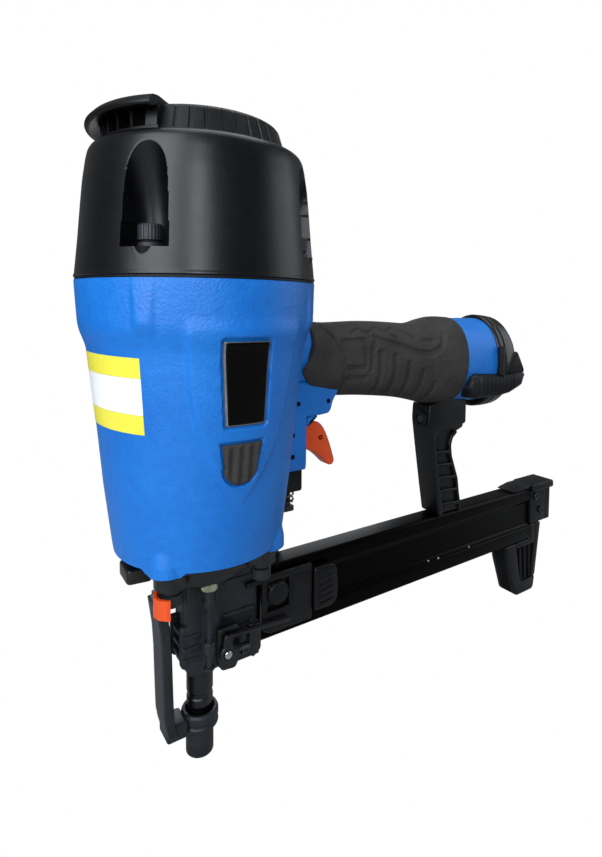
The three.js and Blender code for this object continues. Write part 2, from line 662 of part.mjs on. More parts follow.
const gripX = carriageX + carriageLength + gap;
addPiece("pusher_grip", join(
  box(gripX, gripX + 14, carriageY - carriageThickness - 1.6, carriageY, 61, 84),
  crossPin(4, gripX + 13, 80, carriageY - carriageThickness - 1.6, carriageY),
  crossPin(4, gripX + 13, 65, carriageY - carriageThickness - 1.6, carriageY),
  box(gripX + 12, gripX + 17, carriageY - carriageThickness - 1.6, carriageY, 65, 80),
), blackPlastic);

// ---- Rear end, foot and strut ----
const endX = railEndX + gap;

function railEnd() {
  const plate = box(endX - 1, endX + railEndLength, -railHalfWidth - 1.7, railHalfWidth + 1.7, railTopZ - 3,
    railTopZ + 3);
  const over = sidePlate([[endX - 22, railTopZ + gap], [endX, railTopZ + gap], [endX, railTopZ + 3],
    [endX - 16,
    railTopZ + 3]], -railHalfWidth, railHalfWidth);
  const column = box(endX + 18, endX + railEndLength - 2, -railHalfWidth, railHalfWidth, 62, railTopZ - 2);
  const cheek = box(endX, endX + 19, -railHalfWidth, -3, 62, railTopZ - 2);
  const cheek2 = box(endX, endX + 19, 3, railHalfWidth, 62, railTopZ - 2);
  const trimmed = cut(plate, box(endX - 2, endX, -20, 20, railTopZ - 4, railTopZ + gap));
  const screws = endScrews.map(([x, z]) => crossPin(1.6, x, z, -12, 0));
  return cut(join(trimmed, over, column, cheek, cheek2), ...screws);
}

const endScrews = [[endX + 6, 84], [endX + 13, 71.5]];
addPiece("rail_end", railEnd(), blackPlastic);
endScrews.forEach(([x, z], i) => {
  const screw = join(crossPin(1.5, x, z, -railHalfWidth - 1, -3.2), crossPin(2.8, x, z, -railHalfWidth - 2.2,
    -railHalfWidth - gap));
  addPiece(`end_screw_${i + 1}`, screw, darkSteel);
});

const footX = endX - 29;
addPiece("rear_foot", cut(sidePlate([[footX, railBottomZ - gap], [footX + 2, 38], [footX + 12,
  footBottomZ + 2],
  [footX + 15, footBottomZ], [footX + 34, footBottomZ], [footX + 36, footBottomZ + 2], [footX + 43.5, 61.7],
    [footX + 29.6,
    61.7], [footX + 29.6, railBottomZ - gap]], -railHalfWidth, railHalfWidth),
  box(footX + 17, footX + 30, -railHalfWidth - 1, -railHalfWidth + 2, 22, 44)), blackPlastic);

function rearStrut() {
  const outline = [[157, strutTopZ], [156, 158], [167.8, railTopZ + gap], [191.5, railTopZ + gap], [187.5,
    117], [179.5, 133],
    [179.5, 141], [185, 146], [193, 149], [193, strutTopZ]];
  const plate = sidePlate(outline, -strutHalfWidth, strutHalfWidth);
  const seat = handleShape([[140, 0], ...gripProfile.slice(4).map(([x, r]) => [x, r + gap]),
    [gripEndX + gap, bulgeR],
    [endCapX, bulgeR + 1 + gap], [endCapX, 0]]);
  const pockets = [-1, 1].flatMap((side) => [99, 108, 117].map((z) => box(176 - (z - 99) * 0.3,
    186 - (z - 99) * 0.35,
    side > 0 ? strutHalfWidth - 2.5 : -strutHalfWidth - 1,
      side > 0 ? strutHalfWidth + 1 : -strutHalfWidth + 2.5,
    z - 2.6, z + 2.6)));
  return cut(plate, seat, ...pockets, longPin(3.4, 150, 160.2, 0, 158));
}
addPiece("rear_strut", rearStrut(), blackPlastic);
addPiece("strut_screw", longPin(3, 157, 159.8, 0, 158), darkSteel);

// ---- Grip, end cap, guards and air plug ----
function rubberGrip() {
  const outer = handleShape([[gripStartX, 0], ...gripProfile, [gripEndX, 0]]);
  const inner = handleShape([[gripStartX - 1, 0], ...gripProfile.map(([x, r], i) => [i ? x : x - 1,
    r - gripThickness]),
    [gripEndX + 1, bulgeR - gripThickness - 0.6], [gripEndX + 1, 0]]);
  return cut(outer, inner, box(60, prongEndX + 1, -20, 20, 150, 184 + gap - 1.5),
    post(valveR + gap, valveBottomZ - 3, valveTopZ + 12, valveX));
}

function endCap() {
  const shell = handleShape([[endCapX, 0], [endCapX, endCapR - 1], [endCapX + 2, endCapR],
    [endCapX + endCapLength - 5,
    endCapR - 0.6], [endCapX + endCapLength, endCapR - 5], [endCapX + endCapLength, 0]]);
  const port = handleShape([[endCapX - 1, 0], [endCapX - 1, portR], [endCapX + endCapLength + 1, portR],
    [endCapX + endCapLength + 1, 0]], smallRound);
  return cut(shell, port);
}

addPiece("rubber_grip", rubberGrip(), darkRubber);
addPiece("handle_end_cap", endCap(), blackPlastic);
addPiece("air_plug", handleShape([[endCapX + 2, 0], [endCapX + 2, (portR - slideGap)],
  [endCapX + endCapLength, (portR - slideGap)],
  [endCapX + endCapLength + 5, (portR - slideGap) - 2], [endCapX + endCapLength + 5, 3], [endCapX + 10, 3],
  [endCapX + 10, 0]], smallRound), brightSteel);

/** Ribbed bumper low on one side of the end cap: side -1 is the near side. */
function endGuard(side) {
  const bar0 = 166;
  const outline = [[174, 172], [180, 168.5], [228, 170], [233, 176], [233, 184], [226, 189], [206, 188],
    [180, 184]];
  const y0 = side > 0 ? 14 : -29.5;
  const plate = sidePlate(outline, y0, y0 + 15.5);
  const core = handleShape([[bar0, 0], [bar0, bulgeR + gap], [gripEndX, bulgeR + gap], [endCapX - gap,
    bulgeR + 1 + gap],
    [endCapX - gap, endCapR + gap], [endCapX + endCapLength + gap, endCapR + gap],
      [endCapX + endCapLength + gap, 0]]);
  return cut(plate, core);
}
addPiece("end_guard_near", endGuard(-1), blackRubber);
addPiece("end_guard_far", endGuard(1), blackRubber);

// ---- Trigger and its valve ----
function trigger() {
  const halfWidth = triggerSlotHalfWidth - slideGap;
  const lever = sidePlate([[pivotX, pivotZ + 4], [69.3, pivotZ + 4], [72.5, 164.5], [75.7, 160], [79.3,
    151.5], [82.3, 142],
    [81, 139.6], [78, 139.8], [71.5, 146], [63, 151.5], [pivotX, pivotZ - 4]], -halfWidth, halfWidth);
  const eye = crossPin(4, pivotX, pivotZ, -halfWidth, halfWidth, smallRound);
  return cut(join(lever, eye), crossPin(pinR + gap, pivotX, pivotZ, -8, 8, smallRound));
}

const stemBottomZ = pivotZ + 4 + 0.5;
addPiece("trigger", trigger(), orangePlastic);
addPiece("valve_body", tube(stemR + slideGap, valveR, valveBottomZ, valveTopZ, valveX, 0, smallRound),
  brightSteel);
addPiece("valve_stem", post(stemR, stemBottomZ, valveTopZ + 1, valveX, 0, tinyRound), brightSteel);

// ---- Pads and badges on the housing ----

/** Piece of a shell around the housing's taper, between two heights and angles, set off by `lift`. */
function skin(lift, thickness, z0, z1, centre, halfAngle) {
  const r = (z) => {
    const i = housingProfile.findIndex(([, h]) => h > z);
    const [r0, h0] = housingProfile[i - 1];
    const [r1, h1] = housingProfile[i];
    return r0 + ((r1 - r0) * (z - h0)) / (h1 - h0);
  };
  const levels = [z0, ...housingProfile.map(([, z]) => z).filter((z) => z > z0 + 1 && z < z1 - 1), z1];
  const inner = levels.map((z) => [r(z) + lift, z]);
  const outer = levels.toReversed().map((z) => [r(z) + lift + thickness, z]);
  const half = 70 * Math.tan(halfAngle);
  const wedge = new THREE.Shape([[0, 0], [70, half], [70, -half]].map(([a, b]) => new THREE.Vector2(a, b)));
  const sector = new THREE.ExtrudeGeometry(wedge, { depth: 80, bevelEnabled: false })
    .rotateZ(centre).translate(0, 0, z0 - 10);
  return turned([...inner, ...outer]).intersect(toSolid(sector));
}

[["near", -Math.PI / 2], ["far", Math.PI / 2]].forEach(([name, a]) => {
  addPiece(`side_badge_${name}`, skin(0.3, 1, 180, 213, a, 0.2), blackPlastic);
  addPiece(`side_pad_${name}`, skin(0.3, 2, 153, 174, a, 0.19), darkRubber);
});

// ---- Place the middle of the base at the origin ----
const rearX = endX + railEndLength;
const placed = new THREE.Group();
tool.position.x = -(rearX - housingSeamR) / 2;
placed.add(tool);

export default placed;
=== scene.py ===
# %% [markdown]
# # A pneumatic nailer, built piece by piece
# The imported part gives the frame: every body, joint and hidden piece. On top of it this lesson
# builds the finished surfaces. Sizes are written in millimetres in the tool's own frame, where the
# driver axis is Z and the nose tip is at zero; `place` turns them into the metres of the row frame.

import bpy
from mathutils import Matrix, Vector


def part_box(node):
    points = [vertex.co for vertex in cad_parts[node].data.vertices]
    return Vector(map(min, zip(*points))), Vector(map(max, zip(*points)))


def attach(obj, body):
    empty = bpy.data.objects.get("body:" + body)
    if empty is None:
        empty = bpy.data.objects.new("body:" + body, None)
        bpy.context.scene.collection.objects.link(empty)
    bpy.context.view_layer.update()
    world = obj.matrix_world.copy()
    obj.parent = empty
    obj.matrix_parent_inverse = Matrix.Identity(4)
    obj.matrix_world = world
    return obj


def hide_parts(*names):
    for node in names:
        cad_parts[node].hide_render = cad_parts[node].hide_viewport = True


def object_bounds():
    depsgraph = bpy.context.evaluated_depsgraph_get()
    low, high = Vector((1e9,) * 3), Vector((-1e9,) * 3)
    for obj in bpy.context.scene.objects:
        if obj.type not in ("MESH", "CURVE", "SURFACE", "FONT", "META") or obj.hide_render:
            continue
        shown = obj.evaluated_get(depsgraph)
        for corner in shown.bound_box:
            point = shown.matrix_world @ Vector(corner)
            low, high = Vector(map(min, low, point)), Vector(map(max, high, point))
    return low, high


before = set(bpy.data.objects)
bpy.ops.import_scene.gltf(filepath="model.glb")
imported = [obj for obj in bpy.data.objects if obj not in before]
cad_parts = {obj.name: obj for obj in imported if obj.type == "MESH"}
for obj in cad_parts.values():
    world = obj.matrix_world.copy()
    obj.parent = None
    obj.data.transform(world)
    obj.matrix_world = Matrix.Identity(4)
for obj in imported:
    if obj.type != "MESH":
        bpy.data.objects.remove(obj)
cad_box = [list(corner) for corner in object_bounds()]

import math

import bpy
import numpy as np
from mathutils import Matrix

MM = 0.001
SEAM_R = 58.0
AXIS_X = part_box("main_housing")[0].x + SEAM_R * MM
TOOL = "tool_body"

# %% [markdown]
# ## Shapes as arrays
# A sculpted mesh, a subdivision cage or booleans could all give these parts. Here each shape is a
# stack of rings computed with numpy: it stays exact, closed and easy to re-measure. A shape is a
# pair (points, faces), so several can be merged into one piece.


# %% Ring skins, corner rounding and merging
def place(points):
    """Tool frame to row frame: p * 0.001, then shifted along X by the driver axis."""
    out = np.array(points, float) * MM
    out[..., 0] += AXIS_X
    return out


def skin(rings, closed=False):
    """Joins rings of points: quad (i, j), (i, j+1), (i+1, j+1), (i+1, j); flat ends unless closed."""
    rings = np.asarray(rings, float)
    count, sides = rings.shape[:2]
    grid = np.arange(count * sides).reshape(count, sides)
    ahead = np.roll(grid, -1, axis=1)
    rows = slice(None) if closed else slice(None, -1)
    up, up_ahead = np.roll(grid, -1, axis=0), np.roll(ahead, -1, axis=0)
    quads = np.stack([grid, ahead, up_ahead, up], axis=-1)[rows].reshape(-1, 4)
    faces = quads.tolist()
    if not closed:
        faces += [grid[0, ::-1].tolist(), grid[-1].tolist()]
    return rings.reshape(-1, 3), faces


def merge(*shapes):
    """One shape from several: face numbers are raised by the points that come before."""
    points, faces, base = [], [], 0
    for p, f in shapes:
        points.append(p)
        faces += [[i + base for i in face] for face in f]
        base += len(p)
    return np.concatenate(points), faces


def soften(points, radius, closed=True, steps=5):
    """Rounds corners p by the curve (1-t)^2 a + 2t(1-t) p + t^2 b, where a, b lie `radius` away."""
    p = np.asarray(points, float)
    back, on = np.roll(p, 1, 0) - p, np.roll(p, -1, 0) - p
    back_len = np.linalg.norm(back, axis=1, keepdims=True)
    on_len = np.linalg.norm(on, axis=1, keepdims=True)
    r = np.minimum(np.broadcast_to(np.reshape(radius, (-1, 1)), back_len.shape), 0.47 * back_len)
    r = np.minimum(r, 0.47 * on_len)
    a, b = p + back / back_len * r, p + on / on_len * r
    t = np.linspace(0, 1, steps)[:, None, None]
    out = ((1 - t) ** 2 * a + 2 * t * (1 - t) * p + t * t * b).transpose(1, 0, 2).reshape(-1, 2)
    if closed:
        return out
    return np.concatenate([p[:1], out[steps:-steps], p[-1:]])


def lathe(profile, centre=(0, 0), soft=0.4, sides=72, closed=False):
    """Turns (r, z) points about an upright line: x = cx + r cos a, y = cy + r sin a."""
    pts = soften(profile, soft, closed)
    a = np.linspace(0, 2 * np.pi, sides, endpoint=False)
    r, z = pts[:, :1], pts[:, 1:]
    rings = np.stack([centre[0] + r * np.cos(a), centre[1] + r * np.sin(a), z + 0 * a], axis=-1)
    return skin(rings, closed)


def slab(outline, low, high, axis="y", edge=0.8, corner=1.6, steps=5):
    """A plate: its outline, inset by edge (1 - sin t) at depth edge (1 - cos t) along both rims."""
    p = soften(outline, corner, True, steps)
    on = np.roll(p, -1, 0) - p
    if np.sum(p[:, 0] * on[:, 1] - p[:, 1] * on[:, 0]) < 0:
        p = p[::-1]
        on = np.roll(p, -1, 0) - p
    keep = np.linalg.norm(on, axis=1) > 1e-6
    p = p[keep]
    on = np.roll(p, -1, 0) - p
    n = np.stack([on[:, 1], -on[:, 0]], 1) / np.linalg.norm(on, axis=1, keepdims=True)
    n0 = np.roll(n, 1, 0)
    miter = (n + n0) / (1 + np.sum(n * n0, axis=1, keepdims=True))
    t = np.linspace(0, np.pi / 2, 4)
    inset = np.concatenate([edge * (1 - np.sin(t)), edge * (1 - np.sin(t[::-1]))])
    depth = np.concatenate([low + edge * (1 - np.cos(t)), high - edge * (1 - np.cos(t[::-1]))])
    flat = p[None] - miter[None] * inset[:, None, None]
    w = np.broadcast_to(depth[:, None], flat.shape[:2])
    u, v = flat[..., 0], flat[..., 1]
    order = {"x": (w, u, v), "y": (u, w, v), "z": (u, v, w)}[axis]
    return skin(np.stack(order, axis=-1))


def sweep(path, radius, up=(0, 0, 1), sides=12):
    """A rod along a path: ring = path + r (cos a * side + sin a * lift), side = tangent x up."""
    path = np.asarray(path, float)
    tangent = np.gradient(path, axis=0)
    tangent /= np.linalg.norm(tangent, axis=1, keepdims=True)
    side = np.cross(tangent, np.asarray(up, float))
    side /= np.linalg.norm(side, axis=1, keepdims=True)
    lift = np.cross(side, tangent)
    a = np.linspace(0, 2 * np.pi, sides, endpoint=False)[None, :, None]
    r = np.broadcast_to(radius, len(path))[:, None, None]
    return skin(path[:, None] + r * (np.cos(a) * side[:, None] + np.sin(a) * lift[:, None]))


def turned_along(shape, axis, at):
    """Lays an upright shape along X or Y and moves it to `at`: (x, y, z) -> (z, y, -x) or (x, z, -y)."""
    p, faces = shape
    x, y, z = p.T
    laid = {"x": (z, y, -x), "y": (x, z, -y)}[axis]
    return np.stack(laid, 1) + np.asarray(at, float), faces


def blend_step(x, low, high):
    """Smooth step: t = clip((x - low) / (high - low)), then t^2 (3 - 2t)."""
    t = np.clip((x - low) / (high - low), 0, 1)
    return t * t * (3 - 2 * t)


def piece(name, shape, look, body=TOOL, nodes=(), crease=34):
    """A finished mesh from a shape; faces are flipped if sum of a . (b x c) over triangles is negative."""
    points, faces = shape
    points = place(points)
    mesh = bpy.data.meshes.new(name)
    mesh.from_pydata(points.tolist(), [], faces)
    mesh.polygons.foreach_set("use_smooth", np.ones(len(mesh.polygons), bool))
    mesh.calc_loop_triangles()
    tri = np.empty(len(mesh.loop_triangles) * 3, np.int32)
    mesh.loop_triangles.foreach_get("vertices", tri)
    a, b, c = (points - points.mean(0))[tri.reshape(-1, 3)].transpose(1, 0, 2)
    if np.einsum("ij,ij", a, np.cross(b, c)) < 0:
        mesh.flip_normals()
    mesh.set_sharp_from_angle(angle=math.radians(crease))
    mesh.materials.append(LOOKS[look])
    obj = bpy.data.objects.new(name, mesh)
    bpy.context.scene.collection.objects.link(obj)
    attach(obj, body)
    if nodes:
        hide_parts(*nodes)
    print(f"{name}: {len(points)} points, {len(tri) // 3} triangles")
    return obj


# %% [markdown]
# ## Materials
# Every finish is procedural and reads Object coordinates, so nothing swims when a piece moves.
# Two shared groups give the variation: `Tone` is a soft blotch of colour and roughness, `Grain` is
# the height of the surface's texture. The rest is the shader's own constants.


# %% Shared node groups
def new_group(name, inputs, outputs):
    """An empty shader group with float inputs, a Vector input and float outputs."""
    group = bpy.data.node_groups.new(name, "ShaderNodeTree")
    group.interface.new_socket("Vector", in_out="INPUT", socket_type="NodeSocketVector")
    for label, value in inputs:
        socket = group.interface.new_socket(label, in_out="INPUT", socket_type="NodeSocketFloat")
        socket.default_value = value
    for label in outputs:
        group.interface.new_socket(label, in_out="OUTPUT", socket_type="NodeSocketFloat")
    return group, group.nodes.new("NodeGroupInput"), group.nodes.new("NodeGroupOutput")


def tone_group():
    """Tone = 0.6 wide noise + 0.4 fine noise, stretched about one half by Contrast."""
    group, given, out = new_group("Tone", [("Scale", 60), ("Contrast", 2)], ["Tone"])
    wide, fine = group.nodes.new("ShaderNodeTexNoise"), group.nodes.new("ShaderNodeTexNoise")
    wide.inputs["Detail"].default_value = 4
    fine.inputs["Detail"].default_value = 2
    faster = group.nodes.new("ShaderNodeMath")
    faster.operation = "MULTIPLY"
    faster.inputs[1].default_value = 9
    mix = group.nodes.new("ShaderNodeMix")
    mix.inputs[0].default_value = 0.4
    centre = group.nodes.new("ShaderNodeMath")
    centre.operation = "SUBTRACT"
    centre.inputs[1].default_value = 0.5
    spread = group.nodes.new("ShaderNodeMath")
    spread.operation = "MULTIPLY_ADD"
    spread.use_clamp = True
    spread.inputs[2].default_value = 0.5
    link = group.links.new
    link(given.outputs["Vector"], wide.inputs["Vector"])
    link(given.outputs["Vector"], fine.inputs["Vector"])
    link(given.outputs["Scale"], wide.inputs["Scale"])
    link(given.outputs["Scale"], faster.inputs[0])
    link(faster.outputs[0], fine.inputs["Scale"])
    link(wide.outputs["Fac"], mix.inputs[2])
    link(fine.outputs["Fac"], mix.inputs[3])
    link(mix.outputs[0], centre.inputs[0])
    link(centre.outputs[0], spread.inputs[0])
    link(given.outputs["Contrast"], spread.inputs[1])
    link(spread.outputs[0], out.inputs["Tone"])
    return group


def grain_group():
    """Height = pebbles from smooth cells, roughened by Roughen times a finer noise."""
    group, given, out = new_group("Grain", [("Scale", 900), ("Roughen", 0.4)], ["Height"])
    cells, noise = group.nodes.new("ShaderNodeTexVoronoi"), group.nodes.new("ShaderNodeTexNoise")
    cells.feature = "SMOOTH_F1"
    cells.inputs["Smoothness"].default_value = 1
    noise.inputs["Detail"].default_value = 3
    total = group.nodes.new("ShaderNodeMath")
    total.operation = "MULTIPLY_ADD"
    link = group.links.new
    for node in (cells, noise):
        link(given.outputs["Vector"], node.inputs["Vector"])
        link(given.outputs["Scale"], node.inputs["Scale"])
    link(noise.outputs["Fac"], total.inputs[0])
    link(given.outputs["Roughen"], total.inputs[1])
    link(cells.outputs["Distance"], total.inputs[2])
    link(total.outputs[0], out.inputs["Height"])
    return group


TONE, GRAIN = tone_group(), grain_group()
LOOKS, SLOTS = {}, {}


def srgb(r, g, b):
    """Display colour 0-255 to the shader's linear values, by c^2.2."""
    return (*[(c / 255) ** 2.2 for c in (r, g, b)], 1)


def look(name, slot, dark, light, rough, metal=0.0, specular=0.5, grain=900, height=0.05, tone=60,
         stretch=(1, 1, 1), coat=0.0, roughen=0.4):
    """A material: colour between dark and light and roughness in a range, both by Tone; bump by Grain."""
    mat = bpy.data.materials.new(name)
    mat.use_nodes = True
    nodes, link = mat.node_tree.nodes, mat.node_tree.links.new
    shader = nodes["Principled BSDF"]
    shader.inputs["Metallic"].default_value = metal
    shader.inputs["Specular IOR Level"].default_value = specular
    shader.inputs["Coat Weight"].default_value = coat
    shader.inputs["Coat Roughness"].default_value = 0.12
    coords, mapping = nodes.new("ShaderNodeTexCoord"), nodes.new("ShaderNodeMapping")
    mapping.inputs["Scale"].default_value = stretch
    link(coords.outputs["Object"], mapping.inputs["Vector"])
    toned, grained = nodes.new("ShaderNodeGroup"), nodes.new("ShaderNodeGroup")
    toned.node_tree, grained.node_tree = TONE, GRAIN
    toned.inputs["Scale"].default_value = tone
    grained.inputs["Scale"].default_value = grain
    grained.inputs["Roughen"].default_value = roughen
    for node in (toned, grained):
        link(mapping.outputs["Vector"], node.inputs["Vector"])
    colour = nodes.new("ShaderNodeMix")
    colour.data_type = "RGBA"
    colour.inputs[6].default_value, colour.inputs[7].default_value = srgb(*dark), srgb(*light)
    link(toned.outputs["Tone"], colour.inputs[0])
    link(colour.outputs[2], shader.inputs["Base Color"])
    ranged = nodes.new("ShaderNodeMapRange")
    ranged.inputs["To Min"].default_value, ranged.inputs["To Max"].default_value = rough
    link(toned.outputs["Tone"], ranged.inputs["Value"])
    link(ranged.outputs["Result"], shader.inputs["Roughness"])
    bump = nodes.new("ShaderNodeBump")
    bump.inputs["Distance"].default_value = height * MM
    link(grained.outputs["Height"], bump.inputs["Height"])
    link(bump.outputs["Normal"], shader.inputs["Normal"])
    LOOKS[name], SLOTS[name] = mat, slot
    return mat


# %% [markdown]
# The finishes. Each look is one procedural material: two colours mixed by noise, a roughness range and a fine
# grain in the bump. Paint, moulded plastic and machined steel differ more in roughness than in colour, so one
# plain colour for each would look like the same plastic everywhere.

# %% The finishes
look("blue_paint", "blue_paint", (6, 88, 168), (14, 106, 186), (0.40, 0.52), specular=0.4, grain=850,
     height=0.16, tone=30, roughen=0.3)
look("cap_plastic", "black_plastic", (6, 6, 8), (12, 13, 16), (0.28, 0.38), specular=0.32, grain=2600,
     height=0.02, tone=25)
look("fine_plastic", "black_plastic", (7, 7, 8), (16, 16, 18), (0.32, 0.46), specular=0.24, grain=2200,
     height=0.035, tone=60)
look("badge_gloss", "black_plastic", (4, 3, 4), (10, 8, 9), (0.3, 0.4), specular=0.1, grain=1500,
     height=0.004, tone=50)
look("badge_rim", "black_plastic", (92, 92, 95), (130, 130, 134), (0.25, 0.4), metal=0.6, height=0.01)
look("black_paint", "black_paint", (16, 16, 17), (32, 32, 33), (0.42, 0.6), specular=0.35, grain=1400,
     height=0.05)
look("rail_anodised", "black_anodised", (2, 1, 2), (7, 4, 5), (0.26, 0.36), metal=0.0, specular=0.05,
     grain=1800, height=0.012, tone=9, stretch=(0.25, 1, 1))
look("phosphate", "dark_steel", (20, 22, 25), (42, 45, 49), (0.36, 0.54), metal=0.1, specular=0.3,
     grain=1900, height=0.05, tone=120)
look("black_steel", "dark_steel", (6, 6, 7), (16, 16, 18), (0.3, 0.46), metal=0.0, specular=0.45,
     grain=1700, height=0.03, tone=110)
look("bright_steel", "bright_steel", (150, 150, 152), (205, 206, 208), (0.18, 0.34), metal=1.0,
     grain=1300, height=0.012, tone=200)
look("brass_yellow", "brass_yellow", (170, 135, 70), (200, 165, 95), (0.25, 0.4), metal=1.0)
look("zinc_plate", "zinc_plate", (120, 125, 100), (190, 192, 165), (0.26, 0.42), metal=0.9, tone=400,
     height=0.02)
look("aluminium", "aluminium", (165, 168, 172), (195, 197, 200), (0.28, 0.4), metal=1.0, height=0.01)
look("grip_rubber", "dark_rubber", (41, 40, 40), (64, 61, 60), (0.7, 0.88), specular=0.12, grain=1500,
     height=0.09, tone=70, roughen=0.8)
look("black_rubber", "black_rubber", (11, 11, 13), (24, 24, 27), (0.42, 0.58), specular=0.2, grain=1800,
     height=0.04, tone=60)
look("orange_plastic", "orange_plastic", (196, 62, 16), (214, 78, 28), (0.32, 0.44), specular=0.45,
     grain=2400, height=0.02, tone=40)
look("filter_mesh", "mesh_pad", (110, 84, 80), (252, 240, 235), (0.4, 0.7), metal=0.2, grain=700,
     height=0.6, tone=320, roughen=1.0)
look("film_yellow", "blue_paint", (206, 196, 52), (220, 210, 74), (0.3, 0.42), height=0.01, tone=40)
look("film_white", "blue_paint", (212, 214, 216), (228, 229, 230), (0.3, 0.42), height=0.01, tone=40)
look("dark_hole", "black_plastic", (4, 4, 5), (10, 10, 12), (0.7, 0.9), specular=0.1, height=0.01)
print(len(LOOKS), "finishes")

# %% [markdown]
# ## The drum
# A cast drum could be modelled by hand from a cylinder. It is a surface r(angle, height) instead,
# because its ribs, bosses, raised side panel and pockets are then all sums and soft maxima of
# simple formulas, and the label can follow the same formula.

# %% Drum surface
DRUM_Z = [111, 113, 118, 148, 173, 210, 214.5, 219, 223, 234.5, 243.7, 246]
DRUM_R = [41.0, 41.2, 42.1, 45.9, 48.3, 52.4, 53.2, 55.2, 56.4, 57.2, 57.8, 57.8]
DEG = np.pi / 180
DIAGONALS = np.array([45, 135, 225, 315]) * DEG
NOSE_BOLT_R, BOSS_R = 35.4, 9.0


def turn_from(theta, centre):
    """Signed angle from centre, wrapped to -pi..pi."""
    return (theta - centre + np.pi) % (2 * np.pi) - np.pi


def taper(z):
    """The plain drum radius: straight pieces averaged over 3 mm so that corners are soft."""
    spread = np.linspace(-3, 3, 13)
    return np.mean([np.interp(z + d, DRUM_Z, DRUM_R) for d in spread], axis=0)


def circle_reach(turn, centre_r, radius):
    """How far out a circle of that radius, centred at centre_r, reaches along each ray."""
    off = centre_r * np.sin(turn)
    inside = radius ** 2 - off ** 2
    return np.where(inside > 0, centre_r * np.cos(turn) + np.sqrt(np.maximum(inside, 0)), 0)


def soft_max(a, b, width):
    """(a + b + sqrt((a - b)^2 + width^2)) / 2: the larger one, with a fillet."""
    return (a + b + np.sqrt((a - b) ** 2 + width ** 2)) / 2 - width / 2 * np.exp(-np.abs(a - b) / width)


def box_distance(s, z, half_s, half_z, corner):
    """Signed distance to a rounded rectangle, negative inside."""
    ds, dz = np.abs(s) - half_s + corner, np.abs(z) - half_z + corner
    outside = np.hypot(np.maximum(ds, 0), np.maximum(dz, 0))
    return outside + np.minimum(np.maximum(ds, dz), 0) - corner


def badge_distance(s, z):
    """Distance to the badge: a rectangle 38 high whose front edge leans in towards the bottom."""
    lean = (218.5 - z) / 38 * 3.2 * (s < 0)
    return box_distance(s + 0.4 - lean / 2, z - 199.4, 11.4 - lean / 2, 19.2, 1.6)


def pad_distance(s, z):
    """Distance to the U-shaped pad: straight top at 173.5, round bottom at 153."""
    half = 9.6 - 0.16 * (173.5 - z)
    bowl = np.hypot(s / 1.0, np.minimum(z - 162.0, 0)) - 8.2
    return np.maximum(np.where(z < 162, bowl, np.abs(s) - half), z - 173.4)


def drum_radius(theta, z):
    """taper + side panels + cap ribs, softly joined with the nose bosses, minus the two pockets."""
    r = taper(z)
    panel = np.zeros_like(r)
    pocket = np.zeros_like(r)
    for side in (270 * DEG, 90 * DEG):
        turn = turn_from(theta, side + 1.5 * DEG)
        drop = np.clip((227 - z) / 84, 0, 1)
        half = 30 * DEG * (1 - drop ** 3.2)
        inside = blend_step(half - np.abs(turn), -1.2 * DEG, 3.4 * DEG)
        inside = inside * blend_step(z, 141, 149) * blend_step(-z, -231, -222)
        panel = np.maximum(panel, inside)
        s = r * turn_from(theta, side)
        for distance in (badge_distance(s, z), pad_distance(s, z)):
            pocket = np.maximum(pocket, 1.5 * blend_step(-distance, -0.9, -0.3))
            pocket = pocket - 0.5 * blend_step(-np.abs(distance - 1.7), -0.8, 0)
    bulge = 1.6 * blend_step(z, 140, 175) + 0.4
    r = r + panel * bulge * blend_step(-z, -232, -214)
    for a in DIAGONALS:
        turn = turn_from(theta, a)
        rib = 1.6 * np.clip(1 - (turn / (5.2 * DEG)) ** 2, 0, 1) ** 0.8
        r = r + rib * blend_step(z, 218, 226)
        radius = BOSS_R * np.clip((143.5 - z) / 26, 0, 1) ** 0.5
        r = soft_max(r, circle_reach(turn, NOSE_BOLT_R, radius), 1.2)
    return np.minimum(r - pocket, SEAM_R)


def drum_bottom(theta):
    """The lower edge: 115, but 112.8 under each boss."""
    dip = np.zeros_like(theta)
    for a in DIAGONALS:
        dip = np.maximum(dip, blend_step(-np.abs(turn_from(theta, a)), -15 * DEG, -11 * DEG))
    return 115 - 2.2 * dip


def around(count, busy=(270, 90), gain=1.1):
    """Angles round the drum, closer together near the busy ones."""
    t = np.linspace(0, 2 * np.pi, 4000)
    weight = 1 + sum(gain * np.exp(-(turn_from(t, b * DEG) / 0.3) ** 2) for b in busy)
    total = np.concatenate([[0], np.cumsum((weight[1:] + weight[:-1]) / 2)])
    return np.interp(np.linspace(0, total[-1], count, endpoint=False), total, t)


def drum_shape():
    """Rings of r(theta, z) from the lower edge to the joint, with a small turned-in rim at both ends."""
    theta = around(430)
    low, top = drum_bottom(theta), 243.6
    t = np.linspace(0, 1, 190)[:, None]
    z = low + (top - low) * t
    r = drum_radius(theta + 0 * z, z)
    ends = np.array([1.4, 0.4, 0.1])[:, None]
    first, last = r[:1] - ends, r[-1:] - ends[::-1] * 0.6
    z_first = np.array([0.0, 0.1, 0.5])[:, None] * -1 + low
    z_last = top + np.array([0.0, 0.05, 0.1])[:, None] + 0 * theta
    r, z = np.concatenate([first, r, last]), np.concatenate([z_first[::-1] * 0 + low, z, z_last])
    return skin(np.stack([r * np.cos(theta), r * np.sin(theta), z], axis=-1))


piece("drum_body", drum_shape(), "blue_paint", nodes=["main_housing"], crease=55)

# %% [markdown]
# ## Label, badge and pad
# Each follows the drum's own formula, moved out by a fraction of a millimetre, so nothing floats
# over a rib or cuts into a slope. The label is a thin film in three plain bands.


